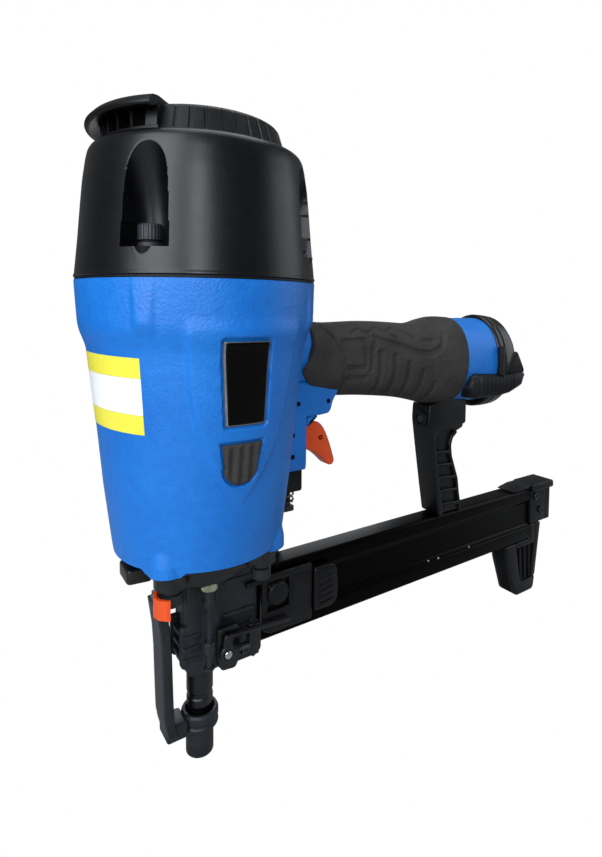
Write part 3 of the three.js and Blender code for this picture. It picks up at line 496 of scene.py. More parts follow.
# %% Films and inlays on the drum
def patch(theta, z, lift_low, lift_high):
    """A thin closed shell over the drum: outer sheet r + lift_high, inner sheet r + lift_low."""
    r = drum_radius(theta, z)
    shape = theta.shape
    sheets = [np.stack([(r + d) * np.cos(theta), (r + d) * np.sin(theta), z], -1) for d in
              (lift_low, lift_high)]
    points = np.concatenate([s.reshape(-1, 3) for s in sheets])
    grid = np.arange(theta.size).reshape(shape)
    cells = np.stack([grid[:-1, :-1], grid[:-1, 1:], grid[1:, 1:], grid[1:, :-1]], -1).reshape(-1, 4)
    rim = np.concatenate([grid[0, :-1], grid[:-1, -1], grid[-1, :0:-1], grid[:0:-1, 0]])
    ahead = np.roll(rim, -1)
    n = theta.size
    walls = np.stack([rim, rim + n, ahead + n, ahead], -1)
    return points, (cells[:, ::-1]).tolist() + (cells + n).tolist() + walls[:, ::-1].tolist()


def band(z_low, z_high, turn_low=160, turn_high=220.5):
    """One band of the label between two heights; its lower edge sags by 1 mm towards the front."""
    t, v = np.meshgrid(np.linspace(turn_low, turn_high, 60), np.linspace(z_low, z_high, 12))
    sag = 1.0 * ((t - turn_low) / (turn_high - turn_low)) ** 2
    return patch(t * DEG, v - sag + 0.4, 0.02, 0.16)


def inlay(distance, side, z_low, z_high, low, high, grooves=0.0, count=4, shrink=0.0):
    """A plate that fills distance < -shrink: the row at height z spans the two roots in s."""
    z = np.linspace(z_low, z_high, 60)
    s = np.linspace(-16, 16, 801)
    inside = distance(s[None], z[:, None]) < -shrink
    keep = inside.any(1)
    z, inside = z[keep], inside[keep]
    first, last = s[inside.argmax(1)], s[len(s) - 1 - inside[:, ::-1].argmax(1)]
    t = np.linspace(0, 1, 73)
    ss = first[:, None] + (last - first)[:, None] * t
    zz = z[:, None] + 0 * ss
    r = taper(zz) + 0 * ss
    theta = side + ss / r
    base = taper(zz) + (1.6 * blend_step(zz, 140, 175) + 0.4) * blend_step(-zz, -232, -214)
    edge = np.minimum(-distance(ss, zz) - shrink, 1.2)
    crown = high - 0.7 * (1 - np.clip(edge / 1.2, 0, 1)) ** 2
    wave = grooves * np.cos(ss / 18.4 * 2 * np.pi * count) * blend_step(edge, 0.6, 1.2)
    outer = base + crown - wave * blend_step(-zz, -z_high + 1.0, -z_high + 3.0)
    sheets = [np.stack([rr * np.cos(theta), rr * np.sin(theta), zz], -1) for rr in (base + low, outer)]
    points = np.concatenate([sh.reshape(-1, 3) for sh in sheets])
    grid = np.arange(theta.size).reshape(theta.shape)
    cells = np.stack([grid[:-1, :-1], grid[:-1, 1:], grid[1:, 1:], grid[1:, :-1]], -1).reshape(-1, 4)
    rim = np.concatenate([grid[0, :-1], grid[:-1, -1], grid[-1, :0:-1], grid[:0:-1, 0]])
    ahead, n = np.roll(rim, -1), theta.size
    walls = np.stack([rim, rim + n, ahead + n, ahead], -1)
    return points, (cells[:, ::-1]).tolist() + (cells + n).tolist() + walls[:, ::-1].tolist()


piece("label_bands", merge(band(202.3, 211), band(178, 186.5)), "film_yellow", crease=60)
piece("label_middle", band(186.6, 202.2), "film_white", crease=60)
for side_name, side in (("near", 270 * DEG), ("far", 90 * DEG)):
    piece(f"badge_{side_name}", inlay(badge_distance, side, 179.5, 219, -1.4, 0.1, shrink=0.9),
          "badge_gloss", nodes=[f"side_badge_{side_name}"], crease=60)
    piece(f"badge_frame_{side_name}", inlay(badge_distance, side, 179.5, 219, -1.4, -0.15, shrink=0.35),
          "badge_rim", crease=60)
    piece(f"pad_{side_name}", inlay(pad_distance, side, 152, 174, -1.4, 0.5, grooves=0.45, count=4,
                                    shrink=0.2), "grip_rubber", nodes=[f"side_pad_{side_name}"], crease=60)

# %% [markdown]
# ## Cap and its bolts
# The cap is again r(angle, height). The channels over the bolts are a circle's reach subtracted
# from it. The circle drifts outwards with height, and that closes the channel to a pointed arch.

# %% Cap surface
CAP_Z = [244.9, 246, 262, 280, 289.5, 299, 303.2, 305]
CAP_R = [57.8, 57.6, 56.0, 54.5, 53.6, 52.2, 51.2, 49.6]
SEAT_Z, CHANNEL_R, BOLT_R = 256.0, 9.2, 50.0
CHANNEL_HEIGHT, CHANNEL_LEAN = 44.0, 11.8


def cap_radius(theta, z):
    """Outer taper, plus a cone under each bolt, cut back to the channel's inner wall above the seat."""
    spread = np.linspace(-1.5, 1.5, 7)
    r = np.mean([np.interp(z + d, CAP_Z, CAP_R) for d in spread], axis=0)
    r = r + 0.25 * blend_step(-z, -246.6, -246.0)
    for a in DIAGONALS:
        turn = turn_from(theta, a)
        radius = 4.9 * np.clip((z - 246.5) / 9.5, 0, 1) ** 0.6 * (z < SEAT_Z)
        r = soft_max(r, circle_reach(turn, 53.0, radius), 0.5)
        rise = np.clip((z - SEAT_Z) / CHANNEL_HEIGHT, 0, 1)
        centre = BOLT_R + CHANNEL_LEAN * rise ** 2.2
        off = centre * np.sin(turn)
        wall = centre * np.cos(turn) - np.sqrt(np.maximum(CHANNEL_R ** 2 - off ** 2, 0))
        hit = (np.abs(off) < CHANNEL_R) & (np.abs(turn) < 1) & (z > SEAT_Z)
        r = np.where(hit, np.minimum(r, wall), r)
    return np.minimum(r, SEAM_R)


def cap_shape():
    """Rings from the joint to the roof; rows are packed at the bolt seats, angles at the channels."""
    t = np.linspace(0, 2 * np.pi, 8000)
    weight = 1 + sum(3.0 * np.exp(-(turn_from(t, a) / 0.2) ** 8) for a in DIAGONALS)
    total = np.concatenate([[0], np.cumsum((weight[1:] + weight[:-1]) / 2)])
    theta = np.interp(np.linspace(0, total[-1], 520, endpoint=False), total, t)
    z = np.concatenate([np.linspace(244.9, 255.9, 26), [255.99, 256.01],
                        np.linspace(256.2, 303.6, 90), [304.1, 304.5, 304.8, 305.0]])[:, None]
    drop = np.concatenate([[0.5], np.zeros(117), [0.1, 0.4, 0.9, 1.8]])[:, None]
    r = cap_radius(theta + 0 * z, z + 0 * theta) - drop
    return skin(np.stack([r * np.cos(theta), r * np.sin(theta), z + 0 * theta], axis=-1))


piece("cap_shell", cap_shape(), "cap_plastic", nodes=["cylinder_cap"], crease=40)
gasket = [[50, 243.75], [57.5, 243.75], [57.5, 244.8], [50, 244.8]]
piece("gasket_ring", lathe(gasket, sides=120, soft=0.2, closed=True), "black_rubber", nodes=["cap_gasket"])


def socket_bolt(x, y, seat, head_r, head_height, up=1, ridges=24):
    """A cap screw: flange, knurled head r + 0.1 cos(ridges a), and a six-sided socket in its top."""
    z = lambda h: seat + up * h
    flange = lathe([[head_r + 0.1, z(0)], [head_r + 0.1, z(1.7)], [head_r - 1.2, z(2.3)],
                    [head_r - 1.3, z(2.9)]], (x, y), 0.3, 48)
    a = np.linspace(0, 2 * np.pi, ridges * 6, endpoint=False)
    rows = [(0.0, z(2.9)), (0.0, z(3.4)), (0.0, z(head_height - 0.9)), (0.5, z(head_height - 0.3)),
            (1.0, z(head_height))]
    r = head_r - np.array([d for d, _ in rows])[:, None] + 0.1 * np.cos(ridges * a)
    hexagon = 2.9 / np.cos((a + np.pi / 6) % (np.pi / 3) - np.pi / 6)
    r = np.concatenate([r, hexagon[None], hexagon[None]])
    h = np.array([height for _, height in rows] + [z(head_height), z(head_height - 2.6)])[:, None]
    rings = np.stack([x + r * np.cos(a), y + r * np.sin(a), h + 0 * a], -1)
    return merge(flange, skin(rings))


for number, a in enumerate((225, 315, 45, 135), start=1):
    x, y = BOLT_R * np.cos(a * DEG), BOLT_R * np.sin(a * DEG)
    piece(f"cap_screw_{number}", socket_bolt(x, y, SEAT_Z + 0.1, 5.1, 9.6), "phosphate",
          nodes=[f"cap_bolt_{number}"], crease=40)

# %% [markdown]
# ## Exhaust deflector
# A thin dome with fine upright grooves round its wall. A quarter of it is open towards -X, with a
# flat lip over the opening, upright vanes in it and a coarse metal mesh behind them.

# %% Deflector
DEFLECTOR_Z, DEFLECTOR_TOP = 305.35, 319.6
MOUTH = 180 * DEG


def deflector_shape():
    """r falls from 43 to 37 over the wall, then rounds over; the mouth is cut back to r = 33."""
    theta = np.linspace(0, 2 * np.pi, 1080, endpoint=False)
    z = np.concatenate([np.linspace(305.35, 306.9, 5), [306.95], np.linspace(307.2, 316.6, 16), [316.65],
                        np.linspace(316.9, 319.6, 12)])[:, None]
    rise = (z - DEFLECTOR_Z) / 14.25
    r = 43.4 - 4.6 * rise - 6.5 * np.clip((rise - 0.78) / 0.22, 0, 1) ** 3 + 0 * theta
    turn = turn_from(theta, MOUTH)
    step = 9 * DEG
    nearest = np.abs((theta / step + 0.5) % 1 - 0.5) * step
    closed = blend_step(np.abs(turn), 52 * DEG, 55 * DEG)
    groove = 0.55 * blend_step(-nearest, -1.1 * DEG, -0.55 * DEG)
    r = r - groove * closed * blend_step(rise, 0.08, 0.12) * blend_step(-rise, -0.93, -0.85)
    open_row = (z > 306.93) & (z < 316.63)
    r = np.where(open_row & (np.abs(turn) < 44 * DEG), 33.0, r)
    return skin(np.stack([r * np.cos(theta), r * np.sin(theta), z + 0 * theta], -1))


def sector(profile, low, high, count=60, soft=0.5):
    """A closed (r, z) profile swept through part of a turn, with flat ends."""
    pts = soften(profile, soft)
    theta = np.linspace(low, high, count)[:, None] * DEG
    r, z = pts[:, 0], pts[:, 1]
    return skin(np.stack([r * np.cos(theta), r * np.sin(theta), z + 0 * theta], -1))


lip = sector([[31, 316.7], [44, 316.2], [50.5, 313.2], [52.3, 313.6], [52.6, 315.2], [49.5, 318.4],
              [44, 319.6], [31, 319.7]], 135, 226, soft=1.0)
sill = sector([[31, 305.35], [46.4, 305.35], [46.6, 306.2], [46.4, 307.1], [31, 307.1]], 133, 227, soft=0.3)
vanes = []
for a in (144, 155, 166, 177, 188, 199, 210):
    vanes.append(sector([[33.5, 306.6], [45.2, 306.6], [45.8, 316.6], [33.5, 316.9]],
                        a - 0.9, a + 0.9, 4, 0.2))
posts = [sector([[33.2, 306.6], [46.0, 306.6], [45.0, 317.2], [33.2, 317.2]], a - 4, a + 2.5, 8, 0.4)
         for a in (223.5, 139)]
piece("deflector_hood", merge(deflector_shape(), lip, sill, *vanes, *posts), "fine_plastic", "deflector",
      ["exhaust_deflector"], crease=38)
mesh_rings = sector([[33.3, 307.2], [35.6, 307.2], [35.6, 316.4], [33.3, 316.4]], 140, 222, 50, 0.2)
piece("mesh_screen", mesh_rings, "filter_mesh", "deflector", ["exhaust_filter"])
screw_cup = [[4.6, 319.7], [5.0, 320.2], [5.0, 321.2], [4.2, 322.3], [2.4, 322.4], [2.2, 320.9]]
piece("centre_screw", lathe(screw_cup, soft=0.3, sides=48), "phosphate", nodes=["deflector_screw"])

# %% [markdown]
# ## Handle
# The handle's rings stand square on a line that droops 2.4 degrees. Each ring is an egg: its
# reach up, down and sideways come from three curves along the handle. The rubber's relief is a
# height field: distances to pads, slots and curved bands give the depth of the grooves.

# %% Handle rings
DROOP = math.radians(2.4)
ALONG = np.array([math.cos(DROOP), 0, -math.sin(DROOP)])
UPWARD = np.array([math.sin(DROOP), 0, math.cos(DROOP)])
GRIP_X = [52, 60, 70, 82, 96, 112, 128, 140, 148, 156, 166, 177, 184, 206]
REACH_UP = [25, 23.6, 22.4, 23.2, 24.4, 24.8, 24.6, 24.2, 26.2, 29.0, 30.2, 29.8, 30.2, 31.0]
REACH_DOWN = [16, 16.6, 18.6, 20.2, 20.4, 21.4, 22.8, 24.6, 26.4, 28.2, 28.9, 28.4, 28.0, 29.0]
REACH_SIDE = [17, 17, 17.6, 18.6, 19.2, 19.6, 20.2, 21.0, 22.0, 23.0, 23.8, 24.0, 24.4, 26.0]


def reach(x, values):
    """A curve along the handle: straight pieces averaged over 12 mm."""
    spread = np.linspace(-6, 6, 13)
    return np.mean([np.interp(x + d, GRIP_X, values) for d in spread], axis=0)


def handle_rings(x, angle, offset=0.0):
    """p = line(x) + up * R cos(angle) + side * S sin(angle), both grown by offset."""
    up = np.where(np.cos(angle) > 0, reach(x, REACH_UP), reach(x, REACH_DOWN)) + offset
    side = reach(x, REACH_SIDE) + offset
    c, s = np.cos(angle), np.sin(angle)
    c = np.sign(c) * np.abs(c) ** 0.94
    s = np.sign(s) * np.abs(s) ** 0.94
    line = x[..., None] * ALONG + np.array([0, 0, 204.0])
    return line + (up * c)[..., None] * UPWARD + (side * s)[..., None] * np.array([0, 1.0, 0])


def segment_distance(x, z, ax, az, bx, bz):
    """Distance to a straight segment: |p - a - t(b - a)|, t clipped to 0..1."""
    dx, dz = bx - ax, bz - az
    t = np.clip(((x - ax) * dx + (z - az) * dz) / (dx * dx + dz * dz), 0, 1)
    return np.hypot(x - ax - t * dx, z - az - t * dz)


def chain_distance(x, z, points):
    """Least distance to a chain of segments."""
    return np.min([segment_distance(x, z, *a, *b) for a, b in zip(points[:-1], points[1:])], axis=0)


def grip_relief(x, z):
    """Depth in mm: slots, the C-shaped band, a band round the pad and chevrons towards the top."""
    depth = np.zeros_like(x)
    slots = [(104.6, 207.5, 179), (115.8, 205, 177), (127, 200.6, 175), (138.6, 195.6, 172),
             (149.6, 188.5, 170)]
    for sx, high, low in slots:
        d = segment_distance(x, z, sx, high - 2.4, sx + 1.0, low)
        depth = np.maximum(depth, 1.5 * blend_step(-d, -2.5, -1.7))
    band = chain_distance(x, z, [(98, 196), (98.5, 207), (104, 212.6), (118, 209.4), (133, 204.6),
                                 (145, 203), (153, 206), (157.5, 213), (157, 221), (150, 226)])
    depth = np.maximum(depth, 1.4 * blend_step(-band, -2.3, -1.5))
    arc = chain_distance(x, z, [(68, 223), (74, 214), (78, 201), (80.5, 188), (81, 178)])
    depth = np.maximum(depth, 1.2 * blend_step(-arc, -1.2, -0.6))
    frame_box = box_distance(x - 86, z - 205.4, 9.2, 9.4, 1.5)
    pad = box_distance(x - 86.4, z - 205.4, 5.6, 6.0, 1.2)
    depth = np.maximum(depth, 1.3 * blend_step(-frame_box, -0.3, 0.5) * blend_step(pad, -0.3, 0.5))
    lower = box_distance(x - 88.5, z - 190.5, 7.2, 2.2, 1.2)
    depth = np.maximum(depth, 1.2 * blend_step(-lower, -0.3, 0.5))
    for start in (86, 100, 114):
        chevron = chain_distance(x, z, [(start, 217.5), (start + 6, 219.6), (start + 12, 216.8),
                                        (start + 19, 213.4)])
        depth = np.maximum(depth, 1.2 * blend_step(-chevron, -1.5, -0.8))
    pad = chain_distance(x, z, [(136, 224), (139, 212), (147, 210.4)])
    return np.maximum(depth, 1.1 * blend_step(-pad, -1.4, -0.7))


def grip_shape():
    """Handle rings from a bowed front edge to a plane rear edge, lowered by the relief on both sides."""
    t = np.concatenate([[0, 0.002, 0.006], np.linspace(0.012, 0.99, 190), [0.995, 0.998, 1.0]])[:, None]
    angle = np.linspace(0, 2 * np.pi, 260, endpoint=False)[None]
    down = (1 - np.cos(angle)) / 2
    start = 60 - 7.5 * np.exp(-((down - 0.62) / 0.2) ** 2) + 4 * blend_step(down, 0.8, 1.0)
    x = start + (177.0 - start) * t
    rim = 1.3 * (1 - np.sqrt(np.clip(1 - (1 - np.clip(np.minimum(t, 1 - t) / 0.012, 0, 1)) ** 2, 0, 1)))
    z = 204 - x * math.sin(DROOP) + np.cos(angle) * 24
    fade = blend_step(np.abs(np.sin(angle)), 0.12, 0.4)
    relief = grip_relief(x, z) * fade * blend_step(t, 0.03, 0.05) * blend_step(1 - t, 0.02, 0.05)
    return skin(handle_rings(x, angle + 0 * x, -rim - relief))


def core_shape(low, high, offset, flare=0.0):
    """A smooth stretch of handle under the rubber; flare widens its start into the drum."""
    x = np.linspace(low, high, 40)[:, None]
    angle = np.linspace(0, 2 * np.pi, 128, endpoint=False)[None]
    grow = flare * (1 - blend_step(x, low, low + 18)) ** 2
    return skin(handle_rings(x + 0 * angle, angle + 0 * x, offset + grow))


piece("rubber_sleeve", grip_shape(), "grip_rubber", nodes=["rubber_grip"], crease=50)
piece("handle_neck", core_shape(38, 64, -2.2, 5.0), "blue_paint")
piece("handle_rear", core_shape(174, 204, -0.6), "blue_paint")

# %% [markdown]
# ## Trigger block, trigger and pins
# The block is cast with the drum. A loft of rounded rectangles gives its fillet into the drum; the
# prong under the rubber and the trigger are plates with rounded rims.


# %% Trigger parts
def block_shape():
    """Rounded rectangles along X: half width 12 + 7 (1 - t)^3, so the flank sweeps into the drum."""
    x = np.concatenate([np.linspace(34, 57.2, 24), [57.6, 57.9, 58.0]])[:, None]
    a = np.linspace(0, 2 * np.pi, 96, endpoint=False)[None]
    t = blend_step(x, 35, 46.5)
    half = 11.9 + 8 * (1 - t) ** 2
    rim = 1.2 * blend_step(x, 57, 58) ** 2
    top, low = 192 + 0 * x, 142.0 - 0 * x
    power = 0.12
    c, s = np.cos(a), np.sin(a)
    y = (half - rim) * np.sign(s) * np.abs(s) ** power
    z = (top + low) / 2 + ((top - low) / 2 - rim) * np.sign(c) * np.abs(c) ** power
    return skin(np.stack([x + 0 * a, y, z], -1))


prong = slab([[50, 192], [50, 171.7], [66, 171.7], [72.5, 172.4], [74.2, 174.4], [75.6, 179.5], [79, 184.2],
              [79, 188]], -11.9, 11.9, edge=1.1, corner=2.2)
slot_cover = slab([[58, 171.7], [58, 165], [61, 169.5], [66, 171.9]], -11.9, 11.9, edge=0.8, corner=2.5)
piece("trigger_block", merge(block_shape(), prong, slot_cover), "blue_paint", crease=40)
trigger_side = [[46, 166], [63, 167.2], [69.6, 166.8], [72.8, 164.6], [75.8, 160], [79.2, 151.6],
                [82.2, 142.2], [80.6, 139.6], [78, 139.9], [71.5, 146.2], [66, 150], [58, 152.5], [46, 158.4]]
piece("trigger_finger", slab(trigger_side, -5.0, 5.0, edge=1.4, corner=2.6), "orange_plastic",
      "trigger_lever", ["trigger"])


def roll_pin(x, z, radius=1.35, half=12.05):
    """A spring pin across the block, with a dark flat end just proud of each face."""
    rod = [[0.3, -half], [radius, -half], [radius, half], [0.3, half]]
    return turned_along(lathe(rod, soft=0.15, sides=28), "y", (x, 0, z))


for name, x, z in (("trigger_pivot_pin", 48.6, 162.5), ("valve_pin_front", 52, 179.5),
                   ("valve_pin_rear", 72, 179.5), ("linkage_pin", 48.6, 150.6)):
    piece(f"pin_{name}", roll_pin(x, z), "dark_hole", nodes=[name])
piece("trigger_pin", turned_along(lathe([[0.6, -5.15], [1.35, -5.15], [1.35, 5.15], [0.6, 5.15]], sides=24,
      soft=0.1, closed=True), "y", (71.6, 0, 157.2)), "dark_hole", "trigger_lever")
guide = [slab([[46, 129.1], [58, 129.1], [58, 141.6], [46, 141.6]], *span, edge=0.7, corner=1.4)
         for span in ((-7, -3), (3, 7))]
guide += [slab([[x, 129.4], [x + 3, 129.4], [x + 3, 141.4], [x, 141.4]],
               -4, 4, edge=0.3) for x in (46.2, 54.8)]
piece("guide_box", merge(*guide), "fine_plastic", nodes=["linkage_guide"])

# %% [markdown]
# ## End cap and guards
# The cap is a drooping oval dish. The guards are ribbed rubber bumpers that wrap its lower sides;
# their ribs are a cosine along the handle, and a small hook holds each to the cap's rim.


# %% End cap, guards
def oval_lathe(profile, sides=120, flat=0.82, soft=1.2):
    """(x, r) points turned about the handle's line, narrowed sideways by `flat`."""
    pts = soften(profile, soft, False)
    a = np.linspace(0, 2 * np.pi, sides, endpoint=False)
    x, r = pts[:, :1], pts[:, 1:]
    line = x[..., None] * ALONG + np.array([0, 0, 204.0])
    return skin(line + (r * np.cos(a))[..., None] * UPWARD
                + (flat * r * np.sin(a))[..., None] * np.array([0, 1, 0]))


cap_profile = [[204.2, 20], [204.2, 31.6], [205.4, 32.9], [209, 32.9], [210, 32.2], [211, 32.9], [220, 32.2],
               [225.6, 28.5], [226, 22], [225, 20], [225, 10], [221, 9.2]]
piece("end_dish", oval_lathe(cap_profile), "cap_plastic", nodes=["handle_end_cap"])
plug_profile = [[218, 8], [229, 8.2], [230.6, 7], [230.6, 4], [226, 3.6], [225, 2]]
piece("inlet_plug", oval_lathe(plug_profile, 48, 1.0, 0.4), "bright_steel", nodes=["air_plug"])


def guard_shape(side):
    """Rings across X: an arch from the handle's flank outwards, ribbed by 0.8 cos over its middle."""
    x = np.linspace(176.5, 232.5, 260)[:, None]
    v = np.linspace(0, 2 * np.pi, 72, endpoint=False)[None]
    low = np.interp(x, [176.5, 179, 183, 206, 216, 226, 232.5],
                    [178.5, 173.6, 172.2, 172.4, 173.6, 177.5, 184.5])
    high = np.interp(x, [176.5, 178.5, 182, 204, 224, 229, 232.5],
                     [182.5, 188.2, 189.8, 188.6, 189.8, 190.5, 187.6])
    out = np.interp(x, [176.5, 178.5, 182, 205, 226, 232.5], [24.6, 26.4, 28.6, 29.5, 29.3, 26.2])
    ribbed = blend_step(x, 183, 187) * blend_step(-x, -222, -218)
    wave = 0.5 * (1 + np.cos((x - 186) / 3.9 * 2 * np.pi))
    middle = (low + high) / 2
    half = (high - low) / 2
    c, s = np.cos(v), np.sin(v)
    z = middle + half * np.sign(s) * np.abs(s) ** 0.7
    face = np.maximum(c, 0) ** 0.5
    y = 15.5 + (out - 15.5) * np.where(c > 0, face, 0) - ribbed * 0.9 * wave * blend_step(c, 0.35, 0.75)
    return skin(np.stack([x + 0 * v, side * y, z], -1))


for side_name, side in (("near", -1), ("far", 1)):
    hook = slab([[203.6, 187], [203.6, 203.5], [205, 207], [207.2, 207.4], [208.6, 205], [208.6, 187]],
                *sorted((side * 23.5, side * 28.2)), edge=0.8, corner=1.6)
    wing = slab([[212, 187.5], [212, 192], [219, 201], [223, 203.5], [226, 199], [231, 190.5], [231, 187.5]],
                *sorted((side * 18.5, side * 27.6)), edge=2.0, corner=3)
    piece(f"guard_{side_name}", merge(guard_shape(side), hook, wing), "black_rubber",
          nodes=[f"end_guard_{side_name}"], crease=50)

# %% [markdown]
# ## Strut, rail and rear end
# The strut's flank is a ladder of rounded pockets: a thinner web with raised rims and rungs. The
# rail is one extruded section, so it is a plate outline in Y and Z pulled along X.

# %% Strut
SPINE = [[157.2, 168.4], [156.4, 158], [159, 141.5], [164.2, 111], [167.8, 91.4]]
strut = [
    slab([[158.6, 168.4], [158, 158], [160.6, 141.5], [165.8, 111], [169.4, 91.4]] +
         [[191.3, 91.4], [188.4, 104], [186.8, 114], [180.2, 131], [179.2, 138.5], [181, 143.5],
                  [185.4, 147], [192.4, 149.4], [193, 152], [193, 170], [170, 172]], -6.0, 6.0, edge=0.6),
    slab(SPINE + [[172.6, 91.4], [168.8, 111], [163.8, 139], [163.2, 144.5], [166, 149], [193, 152.5],
                  [193, 170], [170, 172]], -8.5, 8.5, edge=1.2, corner=2.0),
]
rungs = [(135.4, 165.2, 179.6), (126.4, 166.8, 181.8), (117.2, 168.4, 185.6),
         (108, 170.2, 187.9), (98.4, 172, 189.4)]
for z, x0, x1 in rungs:
    strut.append(slab([[x0 - 1, z - 1.6], [x1 - 1, z - 2.4], [x1, z - 0.4], [x0, z + 0.9]],
                      -8.1, 8.1, edge=0.7,
                      corner=0.8))
strut.append(slab([[185.5, 146.8], [181, 143.4], [179.4, 138.5], [180.4, 131], [186.9, 114], [188.4, 104],
                   [191.3, 91.4], [188.9, 91.4], [186.4, 104], [184.6, 113.5], [178, 130.6], [177, 139],
                   [179, 145], [183, 149]], -7.8, 7.8, edge=0.7, corner=1.2))
piece("strut", merge(*strut), "fine_plastic", nodes=["rear_strut"], crease=40)
piece("screw_recess", turned_along(lathe([[3.2, -2], [6.1, -2],
                                          [6.1, -0.2], [5.2, 0.35], [4.3, -0.4], [3.2, -1.4]],
      soft=0.3, sides=40, closed=True), "x", (157.6, 0, 158)), "fine_plastic")
piece("strut_bolt", turned_along(lathe([[0.9, -1.2], [2.6, -1.3], [2.9, -0.4], [2.9, 0.6]][::-1], soft=0.4,
      sides=36), "x", (157.4, 0, 158)), "phosphate", nodes=["strut_screw"])

# %% [markdown]
# The magazine's rail is one drawn section run straight back, with a moulded tail and a foot at its end. A
# section keeps its grooves true along the whole length, where separate boxes would show their joints.

# %% Rail, its end and the foot
rail_section = [[-6.6, 50.5], [6.6, 50.5], [7.5, 51.6], [7.5, 59.6],
                [6.8, 60.6], [6.8, 62], [5.7, 63.4], [5.7, 79.6],
                [7.0, 81.6], [7.5, 83], [7.5, 89.6], [6.1, 91], [-6.1, 91], [-7.5, 89.6], [-7.5, 83],
                [-7.0, 81.6], [-5.7, 79.6], [-5.7, 63.4], [-6.8, 62],
                [-6.8, 60.6], [-7.5, 59.6], [-7.5, 51.6]]
piece("rail", slab(rail_section, 30.4, 272.2, axis="x", edge=0.3, corner=0.5, steps=4), "rail_anodised",
      nodes=["magazine_rail"], crease=30)
for number, (x, z) in enumerate(((160, 61.7), (169.7, 61.0), (201, 61.3)), start=1):
    stud = lathe([[0.75, 0], [0.75, 0.35], [0.3, 0.6]], soft=0.15, sides=16)
    stud = (stud[0] * [1, 1, -1], stud[1])
    piece(f"rail_stud_{number}", turned_along(stud, "y", (x, -6.75, z)), "bright_steel")
tail = [
    slab([[250.4, 91.4], [251, 92.2], [262, 94.0], [272.4, 94.0], [272.4, 91.3]],
         -7.6, 7.6, edge=0.5, corner=1.0),
    slab([[272.7, 88.2], [300.6, 88.2], [300.6, 92.6], [299.4, 94], [272.7, 94]],
         -9.2, 9.2, edge=0.8, corner=1.2),
    slab([[290.8, 62.2], [298.5, 62.2], [298.5, 90], [290.8, 90]], -7.5, 7.5, edge=0.8),
    slab([[272.7, 62.2], [292, 62.2], [292, 90], [272.7, 90]], -7.5, -3.2, edge=0.7),
    slab([[272.7, 62.2], [292, 62.2], [292, 90], [272.7, 90]], 3.2, 7.5, edge=0.7),
]
piece("rail_tail", merge(*tail), "fine_plastic", nodes=["rail_end"])
for number, (x, z) in enumerate(((278.6, 84), (285.6, 71.5)), start=1):
    head = lathe([[1.2, -7.6], [1.3, -9.0], [2.5, -9.6], [2.8, -9.0], [2.8, -7.7]],
                 soft=0.25, sides=32, closed=True)
    piece(f"tail_screw_{number}", turned_along(head, "y", (x, 0, z)), "phosphate",
          nodes=[f"end_screw_{number}"])
foot_side = [[243.8, 50.2], [245.6, 38], [255.4, 10.4], [258.4, 8.3],
             [277.4, 8.3], [279.6, 10.2], [286.8, 61.6],
             [273, 61.6], [273, 50.2]]
foot = [slab(foot_side, -5.6, 5.6, edge=0.8, corner=1.6)]
foot.append(slab([[243.8, 50.2], [245.6, 38], [255.4, 10.4], [258.4, 8.3],
                  [277.4, 8.3], [279.6, 10.2], [281, 19],
                  [266, 17], [262, 20], [256, 47], [256, 50.2]], -7.5, 7.5, edge=0.9, corner=1.6))
foot.append(slab([[286.8, 61.6], [281, 19], [276, 18.6], [279.6, 48], [279.6, 61.6]],
                 -7.5, 7.5, edge=0.9, corner=1.4))
foot.append(slab([[256, 50.2], [256, 46], [280, 46], [280, 61.6], [273.2, 61.6], [273.2, 50.2]],
                 -7.5, 7.5, edge=0.9))
for x in (261.5, 267.2, 273):
    foot.append(slab([[x - 1.1, 46.5], [x + 1.3, 46.5], [x + 2.6, 19], [x + 0.8, 19]],
                     -7.1, 7.1, edge=0.7, corner=0.6))
piece("rear_foot_shell", merge(*foot), "fine_plastic", nodes=["rear_foot"], crease=40)

# %% [markdown]
# ## Base plate and nose
# Under the cylinder a black steel plate has a lobe at each nose bolt. The nose body is a steel
# casting: an upright column with ribs, two cheeks that reach back to the rail, then the barrel.
# Plates are outlines pulled straight with rounded rims, round parts are turned.

# %% Base plate and nose bolts
BOLT_XY = [(23.3 * sx, 23.3 * sy) for sx, sy in ((-1, -1), (1, -1), (1, 1), (-1, 1))]


def lobed_outline(core, lobe, reach_at, count=240):
    """Polar outline: r = soft maximum of a core circle and a circle of radius `lobe` at each bolt."""
    theta = np.linspace(0, 2 * np.pi, count, endpoint=False)
    radius = np.full_like(theta, core)
    for bx, by in BOLT_XY:
        distance = math.hypot(bx, by) * reach_at
        radius = soft_max(radius, circle_reach(theta - math.atan2(by, bx), distance, lobe), 1.2)
    return np.stack([radius * np.cos(theta), radius * np.sin(theta)], -1)


def base_shape():
    """The lobed outline stacked in rings with a stepped rim; the flat tab towards -X is a separate plate."""
    outline = lobed_outline(29.5, 7.6, 1.0)
    steps = [(0.0, 105.2), (0.0, 109.4), (0.4, 110.2), (1.2, 110.6), (1.4, 111.2), (1.4, 114.2), (1.0, 114.7)]
    scale = 1 + np.array([s for s, _ in steps])[:, None, None] / 31
    height = np.array([z for _, z in steps])[:, None, None] + 0 * outline[None, :, :1]
    return skin(np.concatenate([outline[None] * scale, height], -1))


